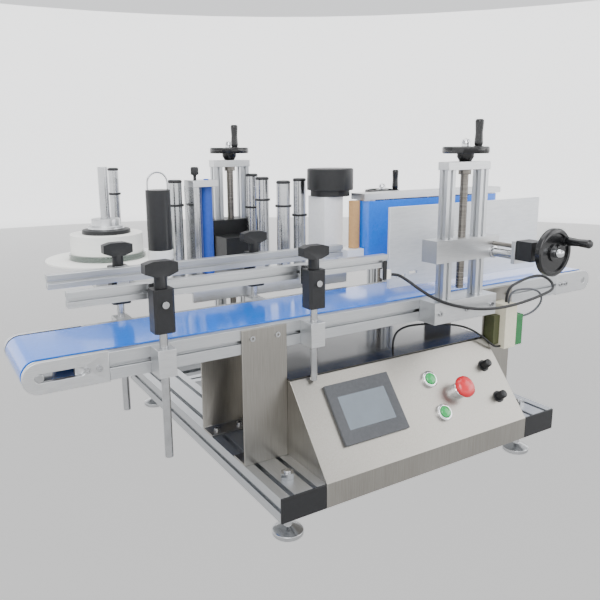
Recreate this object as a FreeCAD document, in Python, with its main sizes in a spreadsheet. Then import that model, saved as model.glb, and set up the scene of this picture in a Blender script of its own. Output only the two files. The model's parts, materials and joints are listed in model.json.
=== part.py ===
import FreeCAD, Part
import math
import os

import Sketcher
from FreeCAD import Placement, Rotation, Vector

"""Desktop labelling machine for round bottles, as a parametric document.

The machine is laid out from a datum at the front left bottom corner of the left
base extrusion: X runs along the conveyor, Y away from the operator, Z up.
ORIGIN then moves everything so that the finished model is centred over its feet.
"""

# Driving sizes, in millimetres (angles in degrees).
SIZES = {
    # base frame of slotted extrusion
    "rail_width": 80, "rail_height": 40, "frame_length": 712, "cap_thickness": 3,
    "rail_spacing": 530, "slot_mouth": 8, "slot_lip": 4.5, "slot_room": 18,
    "slot_floor": 9, "slot_depth": 11, "core_bore": 3.5,
    "foot_height": 56, "foot_diameter": 50, "stud_diameter": 12, "foot_inset": 50,
    "foot_pad_height": 14, "front_cross_y": 340, "rear_cross_y": 650,
    "nut_across": 19, "nut_height": 10,
    # control box
    "box_lip": 40, "box_slope_depth": 107, "box_height": 170, "box_depth": 300,
    "box_wall": 2, "lid_thickness": 3,
    "hmi_width": 131, "hmi_length": 102, "hmi_thickness": 6, "screen_width": 96,
    "screen_length": 57, "screen_recess": 1.5, "hmi_x": 119, "hmi_u": 95.5,
    "button_x": 270, "button_upper_u": 115, "button_lower_u": 52,
    "stop_x": 322, "stop_u": 82, "knob_x": 410,
    "bezel_radius": 15, "bezel_height": 6, "lens_radius": 10.5, "press_gap": 0.3,
    "button_travel": 3.5, "stop_cap_radius": 20, "stop_stem_radius": 9.5,
    "stop_collar_height": 14, "knob_radius": 8, "knob_height": 15,
    # conveyor
    "conveyor_y": 118, "conveyor_width": 160, "conveyor_length": 1180,
    "conveyor_left": -314, "side_height": 40, "side_thickness": 12,
    "side_slot_mouth": 6, "side_slot_depth": 7, "side_slot_room": 12,
    "end_plate_length": 113, "end_plate_thickness": 8, "end_plate_radius": 22,
    "joiner_thickness": 3, "joiner_length": 90, "roller_axis_z": 246.6,
    "roller_radius": 19.5, "belt_thickness": 2, "belt_gap": 0.3, "belt_width": 128,
    "shaft_radius": 6, "shaft_clearance": 0.08, "tension_slot": 52, "bed_thickness": 3,
    "bracket_thickness": 3, "bracket_height": 225, "bracket_flange": 40,
    # bottle guides
    "guide_left": -248, "guide_length": 540, "guide_height": 22, "guide_thickness": 15,
    "guide_z": 333, "lane_front_y": 139, "lane_width": 119, "guide_slot": 5,
    "rod_x_left": -130, "rod_x_right": 120, "rod_offset": 20, "rod_radius": 6,
    "rod_top_z": 319, "left_rod_bottom_z": 102, "right_rod_bottom_z": 168,
    "rear_rod_bottom_z": 186,
    "holder_width": 26, "holder_depth": 34, "clamp_width": 30, "clamp_depth": 28,
    "clamp_height": 62,
    "clamp_z": 290, "cross_rod_radius": 5, "cross_rod_z": 331, "cross_rod_front": 18,
    "tab_width": 20, "tab_thickness": 4, "tab_height": 30,
    "tee_neck_radius": 9, "tee_neck_height": 16, "tee_length": 47, "tee_width": 17,
    "tee_height": 22,
    # lift columns, their screws and handwheels
    "column_size": 20, "column_slot": 5, "column_spacing": 82, "column_top_z": 498,
    "top_plate_length": 104, "top_plate_width": 26, "top_plate_thickness": 14,
    "screw_radius": 7, "slide_gap": 0.3, "collar_radius": 11, "collar_height": 8,
    "wheel_radius": 41, "wheel_rim_height": 12, "wheel_rim_width": 8, "wheel_web": 6,
    "hub_radius": 15, "hub_height": 14, "wheel_nut_radius": 8, "wheel_nut_height": 14,
    "handle_radius": 7.5, "handle_length": 45, "handle_offset": 31, "handle_boss": 1,
    "collar_ratio": 1.6,
    # press unit in front of the conveyor
    "press_x": 441, "press_base_length": 156, "press_base_depth": 41,
    "press_screw_bottom_z": 283, "carriage_length": 156, "carriage_depth": 38,
    "carriage_height": 40, "carriage_z": 337, "slide_x": 505, "slide_rod_radius": 8,
    "slide_rod_z": 347, "slide_screw_z": 363, "slide_screw_radius": 4,
    "end_plate_y": 14, "slide_plate_thickness": 8, "slide_plate_width": 38,
    "slide_plate_height": 40, "indicator_depth": 33, "indicator_height": 34,
    "indicator_width": 34, "slide_wheel_y": -49, "slide_screw_rear_y": 125,
    "press_plate_left": 345, "press_plate_length": 418, "press_plate_bottom": 276,
    "press_plate_height": 153, "press_plate_y": 184, "press_plate_thickness": 6,
    # label head behind the conveyor
    "head_x": 188, "head_y": 530, "head_column_spacing": 62, "foot_plate_thickness": 10,
    "foot_plate_length": 124, "foot_plate_width": 60, "head_plate_left": -5,
    "head_plate_right": 345, "head_plate_front": 318, "head_plate_rear": 504,
    "head_plate_z": 284, "head_plate_thickness": 12, "head_plate_corner": 12,
    "head_lip_drop": 18, "head_lip_thickness": 6, "drum_arm_left": -66, "reel_arm_left": -130,
    "reel_arm_front": 450, "reel_arm_rear": 510, "web_arm_rear": 626, "web_arm_right": -14,
    "head_clamp_z": 308, "head_clamp_height": 50, "head_arm_left": 135, "head_arm_width": 60,
    "head_block_height": 30, "head_block_length": 126, "head_block_depth": 54,
    "post_radius": 13, "post_cap_height": 5, "collar_band": 4, "collar_lip": 3,
    "reel_x": -96, "reel_y": 480, "reel_disc_radius": 112, "reel_disc_z": 333,
    "reel_disc_thickness": 4, "clear_disc_radius": 70, "clear_disc_thickness": 10,
    "roll_radius": 66, "roll_height": 36, "roll_bore": 38,
    "flange_radius": 44, "flange_thickness": 9, "reel_hub_radius": 26,
    "reel_hub_height": 18, "spindle_radius": 9, "spindle_top_z": 505,
    "drum_x": -40, "drum_y": 345, "drum_radius": 21, "drum_z": 364, "drum_height": 104,
    "drum_base_radius": 22, "drum_base_height": 16, "drum_clip_height": 30,
    "drum_clip_radius": 1.5,
    "traction_x": 84, "traction_y": 420, "traction_radius": 11, "traction_top_z": 466,
    "traction_plate_length": 51, "traction_plate_width": 46, "traction_plate_thickness": 12,
    "pinch_radius": 8, "traction_upright": 6,
    # wrap station behind the press plate
    "wrap_left": 350, "wrap_length": 385, "wrap_y": 268, "wrap_roller_radius": 20,
    "wrap_belt_z": 322, "wrap_belt_height": 112, "wrap_belt_thickness": 2,
    "wrap_bar_thickness": 12, "wrap_bar_gap": 2,
    "housing_left": 280, "housing_width": 44, "housing_front": 304, "housing_depth": 58,
    "housing_bottom": 322, "housing_height": 121, "motor_radius": 46,
    "motor_height": 42, "motor_step_radius": 39, "motor_step_height": 12,
    "tan_roller_x": 337, "tan_roller_y": 284, "tan_roller_radius": 11,
    "wrap_lift_x": 562, "wrap_lift_y": 475, "wrap_column_spacing": 60,
    "wrap_column_top_z": 398, "wrap_block_size": 54, "wrap_block_height": 36,
    # cables and amplifiers
    "cable_radius": 2.75, "thin_cable_radius": 2,
}

# Points of the free cables, in millimetres from the datum.
SENSOR_CABLE = [
    (300, 131, 317), (317, 131, 317), (332, 121, 307), (344, 101, 292), (362, 82, 276),
    (393, 68, 262), (444, 61, 249), (500, 58, 243), (549, 59, 243), (597, 61, 246),
    (640, 64, 251), (676, 67, 257), (688, 83, 269), (676, 99, 281), (640, 102, 279),
    (606, 101, 272), (584, 98, 268), (572, 97, 255), (572, 97, 238),
]
LOOP_CABLE = [
    (566, 86, 238), (566, 86, 252), (576, 84, 262), (592, 82, 264), (624, 80, 262),
    (648, 78, 252), (656, 78, 234), (644, 82, 216), (626, 88, 206), (608, 88, 206),
]
UNDER_CABLE = [
    (330, 150, 173), (330, 150, 196), (350, 144, 211), (384, 134, 213), (419, 125, 210),
    (454, 118, 205), (486, 108, 195), (512, 96, 176), (527, 88, 161), (538, 87, 154),
    (550, 87, 154),
]

FORWARD = Rotation(Vector(1, 0, 0), 90)      # local Z points at the operator
BACKWARD = Rotation(Vector(1, 0, 0), -90)    # local Z points away from the operator
RIGHTWARD = Rotation(Vector(1, 1, 1), 120)   # local Z points right, local X points back
UPWARD = Rotation()


class Size:
    """A number together with the spreadsheet expression that gives it."""

    def __init__(self, text, number):
        self.text = text
        self.number = float(number)

    def __float__(self):
        return self.number

    def _join(self, other, sign, result, swapped=False):
        parts = [self.text, text_of(other)]
        if swapped:
            parts.reverse()
        return Size("(%s %s %s)" % (parts[0], sign, parts[1]), result)

    def __add__(self, other):
        return self._join(other, "+", self.number + float(other))

    def __radd__(self, other):
        return self._join(other, "+", float(other) + self.number, swapped=True)

    def __sub__(self, other):
        return self._join(other, "-", self.number - float(other))

    def __rsub__(self, other):
        return self._join(other, "-", float(other) - self.number, swapped=True)

    def __mul__(self, other):
        return self._join(other, "*", self.number * float(other))

    __rmul__ = __mul__

    def __truediv__(self, other):
        return self._join(other, "/", self.number / float(other))

    def __neg__(self):
        return 0 - self


def text_of(value):
    """Give the expression text of a size or of a plain number."""
    return value.text if isinstance(value, Size) else repr(float(value))


class Sheet:
    """Gives each driving size of the spreadsheet as an attribute."""

    def __init__(self, document, sizes):
        self._numbers = sizes
        sheet = document.addObject("Spreadsheet::Sheet", "sizes")
        for row, (alias, number) in enumerate(sizes.items(), start=1):
            sheet.set("A%d" % row, alias)
            sheet.set("B%d" % row, str(number))
            sheet.setAlias("B%d" % row, alias)

    def __getattr__(self, alias):
        return Size("sizes." + alias, self._numbers[alias])


document = FreeCAD.newDocument("labelling_machine")
s = Sheet(document, SIZES)
document.recompute()

NODES = []

# Places that several groups share.
frame_front = s.cap_thickness
conveyor_rear = s.conveyor_y + s.conveyor_width
deck_z = s.rail_height
rail_right_x = s.rail_spacing
belt_outer_radius = s.roller_radius + s.belt_gap + s.belt_thickness
left_roller_x = s.conveyor_left + s.end_plate_radius
right_roller_x = s.conveyor_left + s.conveyor_length - s.end_plate_radius
side_left = s.conveyor_left + s.end_plate_length
side_length = s.conveyor_length - 2 * s.end_plate_length
side_z = s.roller_axis_z - s.side_height / 2
side_top = side_z + s.side_height
press_y = s.conveyor_y - s.press_base_depth / 2
wheel_base_z = s.column_top_z + s.top_plate_thickness
slide_front = s.slide_wheel_y - s.wheel_rim_height / 2 - s.handle_boss - s.handle_length
slope_length = math.hypot(SIZES["box_slope_depth"], SIZES["box_height"] - SIZES["box_lip"])
slope_angle = math.degrees(math.atan2(SIZES["box_height"] - SIZES["box_lip"], SIZES["box_slope_depth"]))

ORIGIN = Vector(
    float(s.conveyor_left + s.conveyor_length / 2),
    (float(slide_front) + float(s.frame_length)) / 2,
    -float(s.foot_height),
)


def spot(x, y, z):
    """Turn datum coordinates into the model's own frame."""
    return Vector(float(x), float(y), float(z)) - ORIGIN


def place(thing, x, y, z, turn=UPWARD):
    """Put a sub-part's local origin at a datum point, turned by a rotation."""
    thing.Placement = Placement(spot(x, y, z), turn)
    return thing


def bind(thing, prop, value):
    """Tie a property to the spreadsheet."""
    if isinstance(value, Size):
        thing.setExpression(prop, value.text)
    else:
        setattr(thing, prop, float(value))


# ---------------------------------------------------------------- primitives

def box(name, length, width, height, x, y, z, turn=UPWARD):
    """Make a box with one corner at a datum point."""
    thing = document.addObject("Part::Box", name)
    bind(thing, "Length", length)
    bind(thing, "Width", width)
    bind(thing, "Height", height)
    return place(thing, x, y, z, turn)


def cylinder(name, radius, height, x, y, z, turn=UPWARD):
    """Make a cylinder whose base centre is at a datum point."""
    thing = document.addObject("Part::Cylinder", name)
    bind(thing, "Radius", radius)
    bind(thing, "Height", height)
    return place(thing, x, y, z, turn)


def cut(name, base, tools):
    """Cut tools out of a base."""
    for number, tool in enumerate(tools, start=1):
        last = number == len(tools)
        result = document.addObject("Part::Cut", name if last else "%s_cut%d" % (name, number))
        result.Base = base
        result.Tool = tool
        base = result
    return base


def fuse(name, pieces):
    """Join pieces that the real object has as one."""
    result = document.addObject("Part::MultiFuse", name)
    result.Shapes = pieces
    result.Refine = True
    return result


def group(name, pieces):
    """Hold several separate solids in one node."""
    result = document.addObject("Part::Compound", name)
    result.Links = pieces
    return result


def node(thing, label):
    """Mark an object as a finished sub-part, under its node name."""
    thing.Label = label
    NODES.append(thing)
    return thing


# ------------------------------------------------------------ sketched bodies

def new_body(name):
    """Add an empty body."""
    return document.addObject("PartDesign::Body", name)


def sketch_on(body, role, offset=0.0):
    """Attach a sketch to one of the body's own origin planes."""
    plane = [item for item in body.Origin.OriginFeatures if item.Role == role][0]
    sketch = body.newObject("Sketcher::SketchObject", body.Name + "_sketch")
    sketch.AttachmentSupport = [(plane, "")]
    sketch.MapMode = "FlatFace"
    if float(offset):
        sketch.AttachmentOffset = Placement(Vector(0, 0, float(offset)), Rotation())
    return sketch


def hold(sketch, kind, geometry, end, value):
    """Fix one coordinate or radius of a sketch element to a size."""
    axis = {"DistanceX": -2, "DistanceY": -1}.get(kind)
    if axis is not None and abs(float(value)) < 1e-9:
        sketch.addConstraint(Sketcher.Constraint("PointOnObject", geometry, end, axis))
        return
    if kind == "Radius":
        index = sketch.addConstraint(Sketcher.Constraint("Radius", geometry, float(value)))
    else:
        index = sketch.addConstraint(Sketcher.Constraint(kind, geometry, end, float(value)))
    if isinstance(value, Size):
        sketch.setExpression("Constraints[%d]" % index, value.text)


def polygon(sketch, points):
    """Draw a closed outline through corner points."""
    first = sketch.GeometryCount
    count = len(points)
    for number, (here, there) in enumerate(zip(points, points[1:] + points[:1])):
        start = Vector(float(here[0]), float(here[1]), 0)
        end = Vector(float(there[0]), float(there[1]), 0)
        sketch.addGeometry(Part.LineSegment(start, end), False)
    for number in range(count):
        following = first + (number + 1) % count
        sketch.addConstraint(Sketcher.Constraint("Coincident", first + number, 2, following, 1))
    for number, (across, along) in enumerate(points):
        hold(sketch, "DistanceX", first + number, 1, across)
        hold(sketch, "DistanceY", first + number, 1, along)


def circle(sketch, radius, x=0, y=0):
    """Draw a circle."""
    centre = Vector(float(x), float(y), 0)
    index = sketch.addGeometry(Part.Circle(centre, Vector(0, 0, 1), float(radius)), False)
    hold(sketch, "Radius", index, 0, radius)
    hold(sketch, "DistanceX", index, 3, x)
    hold(sketch, "DistanceY", index, 3, y)


def stadium(sketch, left, right, y, radius):
    """Draw a slot outline between two centres on a level line."""
    up = Vector(0, 0, 1)
    half = math.pi / 2
    ends = [(left, half, 3 * half), (right, -half, half)]
    arcs = []
    for centre, begin, finish in ends:
        ring = Part.Circle(Vector(float(centre), float(y), 0), up, float(radius))
        arcs.append(sketch.addGeometry(Part.ArcOfCircle(ring, begin, finish), False))
    lines = []
    for side in (1, -1):
        level = float(y) + side * float(radius)
        start = Vector(float(left), level, 0)
        end = Vector(float(right), level, 0)
        lines.append(sketch.addGeometry(Part.LineSegment(start, end), False))
    for line, arc_end in ((lines[0], 1), (lines[1], 2)):
        sketch.addConstraint(Sketcher.Constraint("Tangent", line, 1, arcs[0], arc_end))
        sketch.addConstraint(Sketcher.Constraint("Tangent", line, 2, arcs[1], 3 - arc_end))
    hold(sketch, "Radius", arcs[0], 0, radius)
    for arc, centre in zip(arcs, (left, right)):
        hold(sketch, "DistanceX", arc, 3, centre)
    hold(sketch, "DistanceY", arcs[0], 3, y)


def pad(body, sketch, length):
    """Raise a sketch into a solid."""
    feature = body.newObject("PartDesign::Pad", body.Name + "_pad")
    feature.Profile = sketch
    bind(feature, "Length", length)
    return body


def pocket_through(body, sketch):
    """Cut a sketch's outline through the whole body, both ways."""
    feature = body.newObject("PartDesign::Pocket", body.Name + "_pocket")
    feature.Profile = sketch
    feature.Type = "ThroughAll"
    feature.Midplane = True
    return body


def prism(name, points, length, x, y, z, turn=UPWARD):
    """Make a straight bar of a closed outline, from its local XY plane."""
    body = new_body(name)
    sketch = sketch_on(body, "XY_Plane")
    polygon(sketch, points)
    pad(body, sketch, length)
    return place(body, x, y, z, turn)


def turned(name, points, x, y, z, turn=UPWARD):
    """Turn a (radius, height) outline about the local Z axis."""
    body = new_body(name)
    sketch = sketch_on(body, "XZ_Plane")
    polygon(sketch, points)
    feature = body.newObject("PartDesign::Revolution", name + "_turn")
    feature.Profile = sketch
    feature.ReferenceAxis = (sketch, ["V_Axis"])
    feature.Angle = 360
    return place(body, x, y, z, turn)


def rectangle_points(left, bottom, width, height):
    """Give a rectangle's four corners."""
    return [(left, bottom), (left + width, bottom), (left + width, bottom + height),
            (left, bottom + height)]


# --------------------------------------------------- slotted extrusion profile

def notched_side(start, along, inward, length, centres, slot):
    """Give one side of an extrusion, with a T-slot at each centre."""
    mouth, lip, room, floor, depth = slot

    def point(distance, sunk):
        across = start[0] + distance * along[0] + sunk * inward[0]
        up = start[1] + distance * along[1] + sunk * inward[1]
        return across, up

    points = [point(length * 0.0, 0 * length)]
    for centre in centres:
        points += [
            point(centre - mouth / 2, 0 * mouth), point(centre - mouth / 2, lip),
            point(centre - room / 2, lip), point(centre - floor / 2, depth),
            point(centre + floor / 2, depth), point(centre + room / 2, lip),
            point(centre + mouth / 2, lip), point(centre + mouth / 2, 0 * mouth),
        ]
    return points


def extrusion_outline(width, height, slot, level_slots, upright_slots):
    """Give the outline of an extrusion.

    level_slots are slot centres along the bottom and top sides, upright_slots
    those along the right and left sides, each measured from the lower or left end.
    """
    zero = 0 * width
    outline = notched_side((zero, zero), (1, 0), (0, 1), width, level_slots, slot)
    outline += notched_side((width, zero), (0, 1), (-1, 0), height, upright_slots, slot)
    mirrored = [width - centre for centre in reversed(level_slots)]
    outline += notched_side((width, height), (-1, 0), (0, -1), width, mirrored, slot)
    mirrored = [height - centre for centre in reversed(upright_slots)]
    outline += notched_side((zero, height), (0, -1), (1, 0), height, mirrored, slot)
    return outline


BIG_SLOT = (s.slot_mouth, s.slot_lip, s.slot_room, s.slot_floor, s.slot_depth)


def extrusion(name, width, height, length, slot, level_slots, upright_slots, bores, bore_radius):
    """Make a slotted extrusion that stands on its local XY plane."""
    body = new_body(name)
    sketch = sketch_on(body, "XY_Plane")
    polygon(sketch, extrusion_outline(width, height, slot, level_slots, upright_slots))
    for across, up in bores:
        circle(sketch, bore_radius, across, up)
    return pad(body, sketch, length)


# ------------------------------------------------------------------ base frame

def base_frame():
    """Make the two rails, their caps, cross members, feet and foot nuts."""
    half = s.rail_height / 2
    rails = []
    caps = []
    feet = []
    nuts = []
    rail_length = s.frame_length - 2 * s.cap_thickness
    foot_places = (s.foot_inset, s.frame_length - s.foot_inset)
    for side, left in (("left", 0 * s.rail_width), ("right", rail_right_x)):
        bar = extrusion(
            "rail_bar_" + side, s.rail_width, s.rail_height, rail_length, BIG_SLOT,
            [half, s.rail_width - half], [half],
            [(half, half), (s.rail_width - half, half)], s.core_bore,
        )
        place(bar, left, s.frame_length - s.cap_thickness, 0, FORWARD)
        holes = []
        for end, y in enumerate(foot_places):
            x = left + s.rail_width / 2
            mark = "%s_%d" % (side, end)
            radius = s.stud_diameter / 2 + s.shaft_clearance
            holes.append(cylinder("foot_hole_" + mark, radius, s.rail_height + 2, x, y, -1))
            feet.append(levelling_foot("foot_" + mark, x, y))
            nuts.append(hex_nut("foot_nut_" + mark, x, y, s.rail_height))
        rails.append(cut("rail_" + side, bar, holes))
        for end, y in (("front", 0), ("rear", s.frame_length - s.cap_thickness)):
            caps.append(box("cap_%s_%s" % (side, end), s.rail_width, s.cap_thickness,
                            s.rail_height, left, y, 0))
    node(group("rail_pair", rails), "base_rails")
    node(group("cap_set", caps), "rail_end_caps")
    node(group("foot_set", feet), "levelling_feet")
    members = []
    span = rail_right_x - s.rail_width
    for name, y in (("front", s.front_cross_y), ("column", s.head_y), ("rear", s.rear_cross_y)):
        bar = extrusion("cross_" + name, s.rail_height, s.rail_height, span, BIG_SLOT,
                        [half], [half], [(half, half)], s.core_bore)
        members.append(place(bar, s.rail_width, y - half, 0, RIGHTWARD))
    node(group("cross_set", members), "cross_members")
    return nuts


def levelling_foot(name, x, y):
    """Make a foot: pad, neck, nut and threaded stud in one turned piece."""
    pad_radius = s.foot_diameter / 2
    stud = s.stud_diameter / 2
    base = -s.foot_height
    outline = [
        (0, base), (pad_radius - 2, base), (pad_radius, base + 2),
        (pad_radius, base + s.foot_pad_height * 0.6),
        (stud * 2, base + s.foot_pad_height), (stud, base + s.foot_pad_height + 2),
        (stud, s.rail_height + s.nut_height + 3), (0, s.rail_height + s.nut_height + 3),
    ]
    return turned(name, outline, x, y, 0)


def hex_nut(name, x, y, z):
    """Make the hexagon nut that locks a levelling stud."""
    body = new_body(name)
    sketch = sketch_on(body, "XY_Plane")
    reach = s.nut_across / math.sqrt(3)
    corners = [(reach * math.cos(math.radians(60 * turn)), reach * math.sin(math.radians(60 * turn)))
               for turn in range(6)]
    polygon(sketch, corners)
    circle(sketch, s.stud_diameter / 2 + s.shaft_clearance)
    pad(body, sketch, s.nut_height)
    return place(body, x, y, z)


def screw_head(name, radius, height, x, y, z, turn=UPWARD):
    """Make a low socket screw head with its hexagon socket."""
    body = new_body(name)
    sketch = sketch_on(body, "XY_Plane")
    circle(sketch, radius)
    reach = radius * 0.5
    polygon(sketch, [(reach * math.cos(math.radians(60 * turn_)), reach * math.sin(math.radians(60 * turn_)))
                     for turn_ in range(6)])
    pad(body, sketch, height)
    return place(body, x, y, z, turn)


def fasteners(nuts):
    """Make the visible screws of brackets, end plates and base block."""
    heads = list(nuts)
    radius = Size("4.5", 4.5)
    height = Size("3", 3)
    bracket_front = s.conveyor_y - s.bracket_thickness
    for left in (0 * s.rail_width, rail_right_x):
        for share in (0.22, 0.78):
            x = left + s.rail_width * share
            for face, y, turn in (("front", bracket_front, FORWARD),
                                  ("rear", conveyor_rear + s.bracket_thickness, BACKWARD)):
                heads.append(screw_head("bracket_screw_%d_%s" % (float(x), face), radius, height,
                                        x, y, side_z + s.side_height * 0.6, turn))
            heads.append(screw_head("flange_bolt_%d" % float(x), radius * 1.3, height * 1.5, x,
                                    conveyor_rear - s.bracket_flange / 2,
                                    deck_z + s.bracket_thickness))
    for end, start in (("left", side_left - 30), ("right", side_left + side_length + 14)):
        for step in (0, 1):
            x = start + 16 * step
            heads.append(screw_head("plate_screw_%s%d" % (end, step), radius, height, x,
                                    s.conveyor_y, s.roller_axis_z, FORWARD))
    for step in (-1, 0, 1):
        heads.append(screw_head("base_screw_%d" % step, radius, height,
                                s.press_x + step * s.press_base_length * 0.42,
                                s.conveyor_y - s.press_base_depth, s.roller_axis_z, FORWARD))
    node(group("fastener_set", heads), "frame_fasteners")


# ----------------------------------------------------------------- control box

def on_slope(across, up, height):
    """Give the datum point of a place on the sloping panel."""
    angle = math.radians(slope_angle)
    y = up * math.cos(angle) - height * math.sin(angle)
    z = s.box_lip + up * math.sin(angle) + height * math.cos(angle)
    return s.rail_width + across, y, z


TILTED = Rotation(Vector(1, 0, 0), slope_angle)


def control_box():
    """Make the welded sheet box, its dark lid and what sits on the panel."""
    span = rail_right_x - s.rail_width
    outline = [
        (0, 0), (s.box_depth, 0), (s.box_depth, s.box_height),
        (s.box_slope_depth, s.box_height), (0, s.box_lip),
    ]
    shell = prism("box_outer", outline, span, s.rail_width, 0, 0, RIGHTWARD)
    wall = s.box_wall
    inner_outline = [
        (wall, wall), (s.box_depth - wall, wall), (s.box_depth - wall, s.box_height - wall),
        (s.box_slope_depth + wall * 0.6, s.box_height - wall), (wall, s.box_lip + wall * 0.2),
    ]
    hollow = prism("box_inner", inner_outline, span - 2 * wall, s.rail_width + wall, 0, 0, RIGHTWARD)
    node(cut("box_shell", shell, [hollow]), "control_box")
    node(box("box_lid", span, s.box_depth - s.box_slope_depth - 1, s.lid_thickness,
             s.rail_width, s.box_slope_depth + 1, s.box_height), "control_box_lid")
    hmi()
    panel_bezels()
    panel_controls()


def hmi():
    """Make the touch panel: bezel with a recess, and the screen in it."""
    frame = new_body("hmi_frame")
    outline = sketch_on(frame, "XY_Plane")
    polygon(outline, rectangle_points(-s.hmi_width / 2, -s.hmi_length / 2, s.hmi_width, s.hmi_length))
    pad(frame, outline, s.hmi_thickness)
    place(frame, *on_slope(s.hmi_x, s.hmi_u, 0), TILTED)
    depth = s.screen_recess
    well = box("screen_well", s.screen_width, s.screen_length, depth + 1,
               *on_slope(s.hmi_x - s.screen_width / 2, s.hmi_u - s.screen_length / 2,
                         s.hmi_thickness - depth), TILTED)
    node(cut("hmi_cut", frame, [well]), "hmi_bezel")
    node(box("hmi_glass", s.screen_width, s.screen_length, depth * 0.7,
             *on_slope(s.hmi_x - s.screen_width / 2, s.hmi_u - s.screen_length / 2,
                       s.hmi_thickness - depth), TILTED), "hmi_screen")


def ring(name, outer, inner, height, across, up):
    """Make a bezel ring on the sloping panel."""
    outline = [(inner, 0), (outer, 0), (outer, height - 1), (outer - 1, height), (inner, height)]
    return turned(name, outline, *on_slope(across, up, 0), TILTED)


def panel_bezels():
    """Make the fixed rings round the buttons, the stop switch and the knobs."""
    inner = s.lens_radius + s.press_gap
    rings = [
        ring("start_ring", s.bezel_radius, inner, s.bezel_height, s.button_x, s.button_upper_u),
        ring("reset_ring", s.bezel_radius, inner, s.bezel_height, s.button_x, s.button_lower_u),
        ring("stop_ring", s.bezel_radius, s.stop_stem_radius + s.press_gap, s.stop_collar_height,
             s.stop_x, s.stop_u),
    ]
    for mark, up in (("upper", s.button_upper_u), ("lower", s.button_lower_u)):
        rings.append(turned("knob_nut_" + mark, [(0, 0), (11, 0), (11, 2), (0, 2)],
                            *on_slope(s.knob_x, up, 0), TILTED))
    node(group("ring_set", rings), "panel_bezels")


def panel_controls():
    """Make the buttons and knobs that move."""
    rest = s.button_travel + 0.5
    top = s.bezel_height + 3.5
    for label, up in (("start_button", s.button_upper_u), ("reset_button", s.button_lower_u)):
        lens = [(0, rest), (s.lens_radius, rest), (s.lens_radius, top - 1.5),
                (s.lens_radius - 2, top), (0, top + 0.5)]
        node(turned(label + "_lens", lens, *on_slope(s.button_x, up, 0), TILTED), label)
    base = s.stop_collar_height + s.button_travel + 1
    cap = s.stop_cap_radius
    mushroom = [
        (0, rest), (s.stop_stem_radius, rest), (s.stop_stem_radius, base), (cap - 2, base),
        (cap, base + 3), (cap - 1, base + 8), (cap * 0.7, base + 12), (0, base + 13.5),
    ]
    node(turned("stop_mushroom", mushroom, *on_slope(s.stop_x, s.stop_u, 0), TILTED),
         "e_stop_button")
    for label, up in (("speed_knob", s.button_upper_u), ("delay_knob", s.button_lower_u)):
        low = 2 + s.press_gap
        grip = [(0, low), (s.knob_radius, low), (s.knob_radius * 0.9, low + s.knob_height - 1),
                (s.knob_radius * 0.9 - 1, low + s.knob_height), (0, low + s.knob_height)]
        node(turned(label + "_grip", grip, *on_slope(s.knob_x, up, 0), TILTED), label)


# -------------------------------------------------------------------- conveyor

def conveyor():
    """Make the belt conveyor: sides, end plates, bed, belt, rollers and brackets."""
    slot = (s.side_slot_mouth, s.side_slot_depth * 0.35, s.side_slot_room,
            s.side_slot_mouth, s.side_slot_depth)
    middle = s.side_height / 2
    sides = []
    for name, y, flip in (("front", s.conveyor_y, False),
                          ("rear", conveyor_rear - s.side_thickness, True)):
        body = new_body("side_" + name)
        sketch = sketch_on(body, "XY_Plane")
        polygon(sketch, side_outline(slot, middle, flip))
        pad(body, sketch, side_length)
        sides.append(place(body, side_left, y, side_z, RIGHTWARD))
    node(group("side_pair", sides), "conveyor_rails")
    end_plates()
    slider_bed()
    belt()
    for label, x in (("idler_roller", left_roller_x), ("drive_roller", right_roller_x)):
        reach = s.belt_width / 2
        shaft = s.conveyor_width / 2 - 0.5
        outline = [(0, -shaft), (s.shaft_radius, -shaft), (s.shaft_radius, -reach),
                   (s.roller_radius, -reach), (s.roller_radius, reach),
                   (s.shaft_radius, reach), (s.shaft_radius, shaft), (0, shaft)]
        roller = turned(label + "_body", outline, x, s.conveyor_y + s.conveyor_width / 2,
                        s.roller_axis_z, FORWARD)
        node(roller, label)
    brackets()


def side_outline(slot, middle, flip):
    """Give a conveyor side's section: a flat bar with one T-slot outside."""
    thick = s.side_thickness
    tall = s.side_height
    zero = 0 * thick
    if flip:
        return (notched_side((zero, zero), (1, 0), (0, 1), thick, [], slot)
                + notched_side((thick, zero), (0, 1), (-1, 0), tall, [middle], slot)
                + [(thick, tall), (zero, tall)])
    return ([(zero, zero), (thick, zero), (thick, tall)]
            + notched_side((zero, tall), (0, -1), (1, 0), tall, [middle], slot))


def end_plates():
    """Make the four end plates with their joiner strips."""
    plates = []
    outer_left = s.conveyor_left
    outer_right = s.conveyor_left + s.conveyor_length
    for side, y, strip_y in (
            ("front", s.conveyor_y + s.end_plate_thickness, s.conveyor_y + s.side_thickness),
            ("rear", conveyor_rear, conveyor_rear - s.side_thickness - s.joiner_thickness)):
        for end, x, sign in (("left", outer_left, 1), ("right", outer_right, -1)):
            body = new_body("end_plate_%s_%s" % (side, end))
            sketch = sketch_on(body, "XY_Plane")
            plate_outline(sketch, sign)
            pad(body, sketch, s.end_plate_thickness)
            place(body, x, y, s.roller_axis_z, FORWARD)
            start = (x + sign * (s.end_plate_length - s.joiner_length / 2))
            left = start if sign > 0 else start - s.joiner_length
            strip = box("joiner_%s_%s" % (side, end), s.joiner_length, s.joiner_thickness,
                        s.side_height * 0.6, left, strip_y, s.roller_axis_z - s.side_height * 0.3)
            spacer_y = s.conveyor_y + s.end_plate_thickness
            if side == "rear":
                spacer_y = conveyor_rear - s.side_thickness
            near = left if sign > 0 else side_left + side_length
            spacer = box("spacer_%s_%s" % (side, end), s.joiner_length / 2,
                         s.side_thickness - s.end_plate_thickness, s.side_height * 0.6,
                         near, spacer_y, s.roller_axis_z - s.side_height * 0.3)
            plates.append(fuse("end_plate_set_%s_%s" % (side, end), [body, spacer, strip]))
    node(group("end_plate_group", plates), "conveyor_end_plates")


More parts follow.
